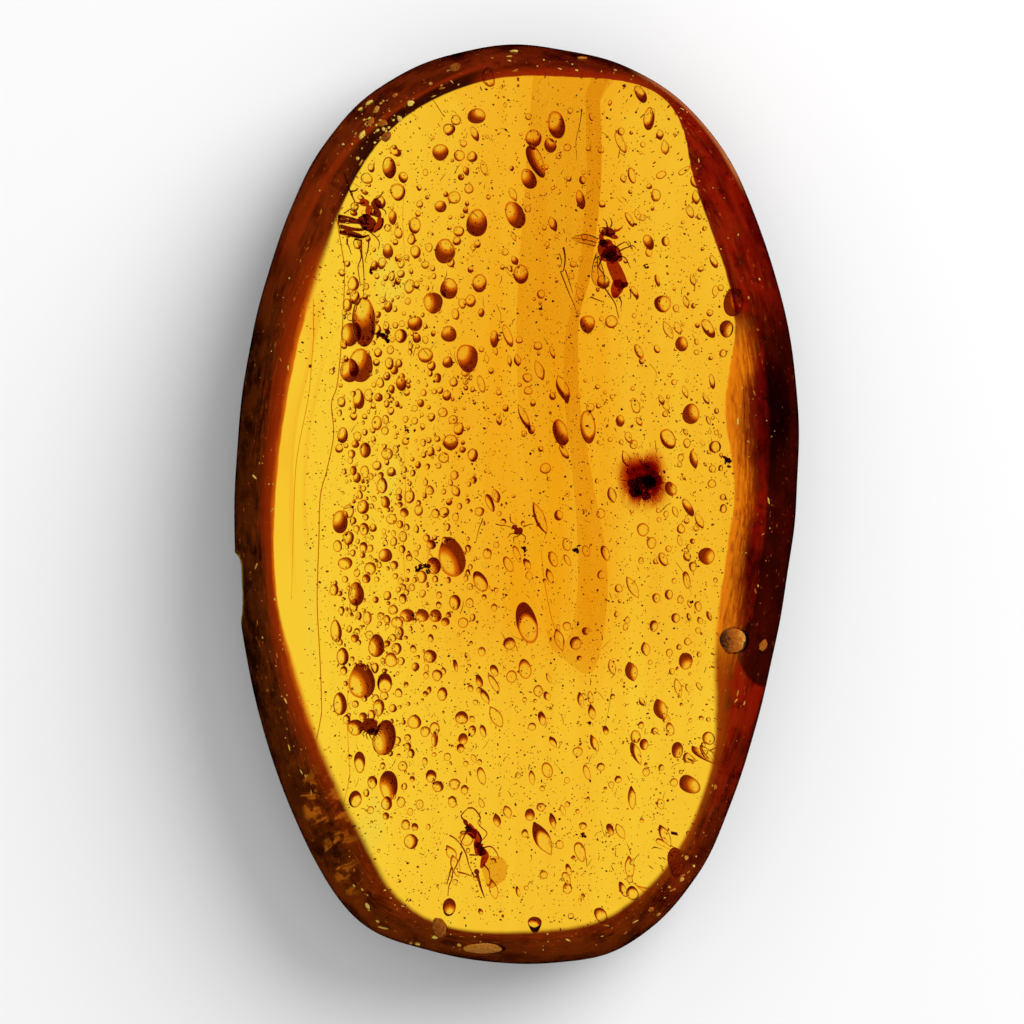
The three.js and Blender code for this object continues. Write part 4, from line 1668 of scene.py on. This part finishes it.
class AMBER_OT_rim(bpy.types.Operator):
    """Set the crumbs, glints and flat bubbles that lie just under the skin of the rim."""

    bl_idname = "amber.rim"
    bl_label = "Glints in the Rim"

    def execute(self, context):
        rng = random.Random(41)
        glints = Shape()
        for k, (x, y, wide, long, turn, tone) in enumerate(GLINTS):
            lay(glints, x, y, 0.03, (wide, long, 0.06), turn, 3, tone, 0.2, 200 + k)
        here, girdle, inward = girdle_frame(400)
        for k in range(240):
            place = rng.randrange(400)
            x, y = girdle[place] + inward[place] * rng.uniform(0.35, 0.95) * here[place, 4]
            size = rng.uniform(0.015, 0.05)
            stroke = rng.choice((1, 1, 1.6, 3.5))
            turn = math.degrees(math.atan2(inward[place, 1], inward[place, 0])) + rng.gauss(0, 25)
            radii = (size, size * stroke, 0.03)
            lay(glints, x, y, 0.01, radii, turn, 2, rng.uniform(0.35, 0.85), 0.2, rng.randrange(999))
        for k in range(70):
            x, y, size = rng.gauss(-6.3, 0.75), rng.gauss(17.3, 0.75), rng.uniform(0.02, 0.075)
            if not inside_window(x, y, -0.1) and inside_window(x, y, -1.8):
                radii = (size, size * rng.uniform(0.8, 1.8), 0.03)
                lay(glints, x, y, 0.01, radii, rng.uniform(0, 180), 2, rng.uniform(0.45, 1.0), 0.25, k)
        piece("rim_glints", glints, spangle_material())
        flats = Shape()
        lay(flats, -3.48, -19.15, 0.06, (0.34, 0.52, 0.14), 8, 4, 0.3, 0.08, 300)
        lay(flats, -1.45, -20.1, 0.05, (0.95, 0.36, 0.1), 2, 4, 0.56, 0.06, 301)
        lay(flats, -2.8, 19.85, 0.05, (0.27, 0.28, 0.1), 0, 4, 0.25, 0.05, 302)
        # The flat bubble on the right: a dark outer ball as painted shade round its edge, and a paler inner
        # one with a painted highlight to the right.
        lay(flats, 9.8, -6.13, 0.08, (0.64, 0.62, 0.12), 0, 4, 0.1, 0.04, 303)
        lay(flats, 9.8, -6.13, 0.04, (0.58, 0.56, 0.12), 0, 5, 0.34, 0.05, 304, 0.34)
        piece("rim_flats", flats, spangle_material())
        return {"FINISHED"}


# The stage


def flat_panel(name, outline, level, material):
    mesh = bpy.data.meshes.new(name)
    corners = [(x * MM, y * MM, level * MM) for x, y in outline]
    mesh.from_pydata(corners, [], [tuple(range(len(corners)))])
    mesh.materials.append(material)
    panel = bpy.data.objects.new(name, mesh)
    bpy.context.scene.collection.objects.link(panel)
    return panel


def lay_floor(half):
    recipe = Recipe("pale_floor")
    diffuse = recipe.node("ShaderNodeBsdfDiffuse", {}, {"Color": (0.9, 0.9, 0.9, 1)})
    corners = [(-half, -half), (half, -half), (half, half), (-half, half)]
    floor_finish = recipe.finish(diffuse)
    flat_panel("floor", corners, -0.03, floor_finish).visible_glossy = False
    return floor_finish


def lay_light_table(stage, floor_finish):
    """A glowing sheet under the stone, with a black back, and over it a cover like the floor.

    Only the camera's own rays meet the cover: the light for the stone passes through it.
    """
    here, girdle, inward = girdle_frame(120)
    outline = girdle + inward * np.clip(here[:, 4:5] - 0.2, 1.2, 2.0)
    recipe = Recipe("light_table")
    glow = {"Color": tuple(stage.table_colour) + (1,), "Strength": stage.table_strength}
    emission = recipe.finish(recipe.node("ShaderNodeEmission", {}, glow))
    flat_panel("light_table", outline, -0.01, emission).visible_camera = False
    recipe = Recipe("table_back")
    black = recipe.node("ShaderNodeBsdfDiffuse", {}, {"Color": (0.0, 0.0, 0.0, 1)})
    flat_panel("table_back", outline, -0.02, recipe.finish(black)).visible_camera = False
    cover = flat_panel("table_cover", outline, -0.005, floor_finish)
    cover.visible_transmission = False
    cover.visible_diffuse = False
    cover.visible_glossy = False
    cover.visible_shadow = False


def hang_lamp(name, towards, distance, size, energy):
    """A round soft lamp that shines on the stone from that direction."""
    light = bpy.data.lights.new(name, "AREA")
    light.shape = "DISK"
    light.size = size
    light.energy = energy
    lamp = bpy.data.objects.new(name, light)
    bpy.context.scene.collection.objects.link(lamp)
    direction = Vector(towards).normalized()
    lamp.location = direction * distance
    lamp.rotation_mode = "QUATERNION"
    lamp.rotation_quaternion = direction.to_track_quat("Z", "Y")
    lamp.visible_camera = False
    lamp.visible_glossy = False
    lamp.visible_transmission = False


def set_camera(scene):
    """A long lens straight above the stone."""
    distance = 0.4
    view_width = 0.04675
    lens = bpy.data.cameras.new("camera")
    lens.sensor_width = 36
    lens.lens = 36 * distance / view_width
    camera = bpy.data.objects.new("camera", lens)
    camera.location = (-0.000205, -0.00032, GIRDLE * MM + distance)
    scene.collection.objects.link(camera)
    scene.camera = camera


class AMBER_OT_stage(bpy.types.Operator):
    """Lay the pale floor and set the lights and the camera."""

    bl_idname = "amber.stage"
    bl_label = "Stage"

    def execute(self, context):
        scene = context.scene
        stage = scene.amber_stage
        floor_finish = lay_floor(2000)
        lay_light_table(stage, floor_finish)
        hang_lamp("key", (0.75, 0.6, 0.8), 0.5, 0.42, stage.key_energy)
        hang_lamp("fill", (-0.1, -0.1, 1.0), 0.5, 0.5, stage.fill_energy)
        world = bpy.data.worlds.new("soft_room")
        scene.world = world
        world.use_nodes = True
        background = world.node_tree.nodes["Background"]
        background.inputs["Color"].default_value = (1, 1, 1, 1)
        background.inputs["Strength"].default_value = stage.room_light
        world.cycles_visibility.glossy = False
        world.cycles_visibility.transmission = False
        set_camera(scene)
        scene.view_settings.view_transform = "Standard"
        scene.cycles.max_bounces = 32
        scene.cycles.transmission_bounces = 32
        scene.cycles.glossy_bounces = 8
        scene.cycles.diffuse_bounces = 4
        scene.cycles.volume_bounces = 0
        scene.cycles.transparent_max_bounces = 16
        scene.cycles.use_denoising = True
        return {"FINISHED"}


# The add-on


class ResinSettings(bpy.types.PropertyGroup):
    ior: FloatProperty(name="IOR", description="How strongly the amber bends light", default=1.54, min=1.0)
    clear_colour: FloatVectorProperty(
        name="Resin colour",
        description="Colour that the resin lets through",
        subtype="COLOR",
        size=3,
        default=(0.992, 0.83, 0.02),
    )
    depth_of_colour: FloatProperty(
        name="Depth of colour", description="How fast the colour deepens, per metre", default=300.0, min=0.0
    )


class FillingSettings(bpy.types.PropertyGroup):
    bubble_contrast: FloatProperty(
        name="Bubble contrast",
        description="How strongly the resin's light bends at a bubble",
        default=1.06,
        min=1.01,
    )
    left_stream: IntProperty(
        name="Left stream",
        description="How many small bubbles rise along the left side",
        default=520,
        min=0,
    )
    right_stream: IntProperty(
        name="Right stream",
        description="How many small round bubbles lie in the right half",
        default=260,
        min=0,
    )
    drawn_out: IntProperty(
        name="Drawn-out bubbles",
        description="How many small stretched bubbles there are",
        default=120,
        min=0,
    )
    dust: IntProperty(name="Dust", description="How many specks of dust are sealed in", default=15000, min=0)
    strokes: IntProperty(
        name="Fibres",
        description="How many fine short fibres are sealed in",
        default=520,
        min=0,
    )
    cuticle: FloatVectorProperty(
        name="Cuticle",
        description="Colour of the insects",
        subtype="COLOR",
        size=3,
        default=(0.022, 0.006, 0.003),
    )


class StageSettings(bpy.types.PropertyGroup):
    table_colour: FloatVectorProperty(
        name="Light table colour",
        description="Colour of the sheet that glows under the stone",
        subtype="COLOR",
        size=3,
        default=(0.935, 0.86, 0.475),
    )
    table_strength: FloatProperty(
        name="Light table", description="How bright the sheet under the stone glows", default=1.05, min=0.0
    )
    key_energy: FloatProperty(
        name="Key lamp", description="Power of the lamp on the right", unit="POWER", default=2.35, min=0.0
    )
    fill_energy: FloatProperty(
        name="Fill lamp", description="Power of the soft lamp above", unit="POWER", default=0.25, min=0.0
    )
    room_light: FloatProperty(
        name="Room light",
        description="Even light from all round",
        default=0.5,
        min=0.0,
    )


class AMBER_PT_panel(bpy.types.Panel):
    """The steps of the build, in order."""

    bl_label = "Insect in Amber"
    bl_idname = "AMBER_PT_panel"
    bl_space_type = "VIEW_3D"
    bl_region_type = "UI"
    bl_category = "Amber"

    def draw(self, context):
        layout = self.layout
        for settings in (context.scene.amber_resin, context.scene.amber_filling, context.scene.amber_stage):
            box = layout.box()
            for name in settings.bl_rna.properties.keys():
                if name not in ("rna_type", "name"):
                    box.prop(settings, name)
        for operator in OPERATORS:
            layout.operator(operator.bl_idname)


SETTINGS = {
    "amber_resin": ResinSettings,
    "amber_filling": FillingSettings,
    "amber_stage": StageSettings,
}
OPERATORS = (
    AMBER_OT_stone,
    AMBER_OT_bubbles,
    AMBER_OT_streams,
    AMBER_OT_flows,
    AMBER_OT_dust,
    AMBER_OT_gnat,
    AMBER_OT_midge,
    AMBER_OT_long_fly,
    AMBER_OT_small_life,
    AMBER_OT_stain,
    AMBER_OT_debris,
    AMBER_OT_rim,
    AMBER_OT_stage,
)


def register():
    for kind in (*SETTINGS.values(), *OPERATORS, AMBER_PT_panel):
        bpy.utils.register_class(kind)
    for name, kind in SETTINGS.items():
        setattr(bpy.types.Scene, name, PointerProperty(type=kind))


def unregister():
    for name in SETTINGS:
        delattr(bpy.types.Scene, name)
    for kind in (AMBER_PT_panel, *reversed(OPERATORS), *SETTINGS.values()):
        bpy.utils.unregister_class(kind)


def main():
    register()
    bpy.ops.amber.stone()
    bpy.ops.amber.bubbles()
    bpy.ops.amber.streams()
    bpy.ops.amber.flows()
    bpy.ops.amber.dust()
    bpy.ops.amber.gnat()
    bpy.ops.amber.midge()
    bpy.ops.amber.long_fly()
    bpy.ops.amber.small_life()
    bpy.ops.amber.stain()
    bpy.ops.amber.debris()
    bpy.ops.amber.rim()
    bpy.ops.amber.stage()


if __name__ == "__main__":
    main()
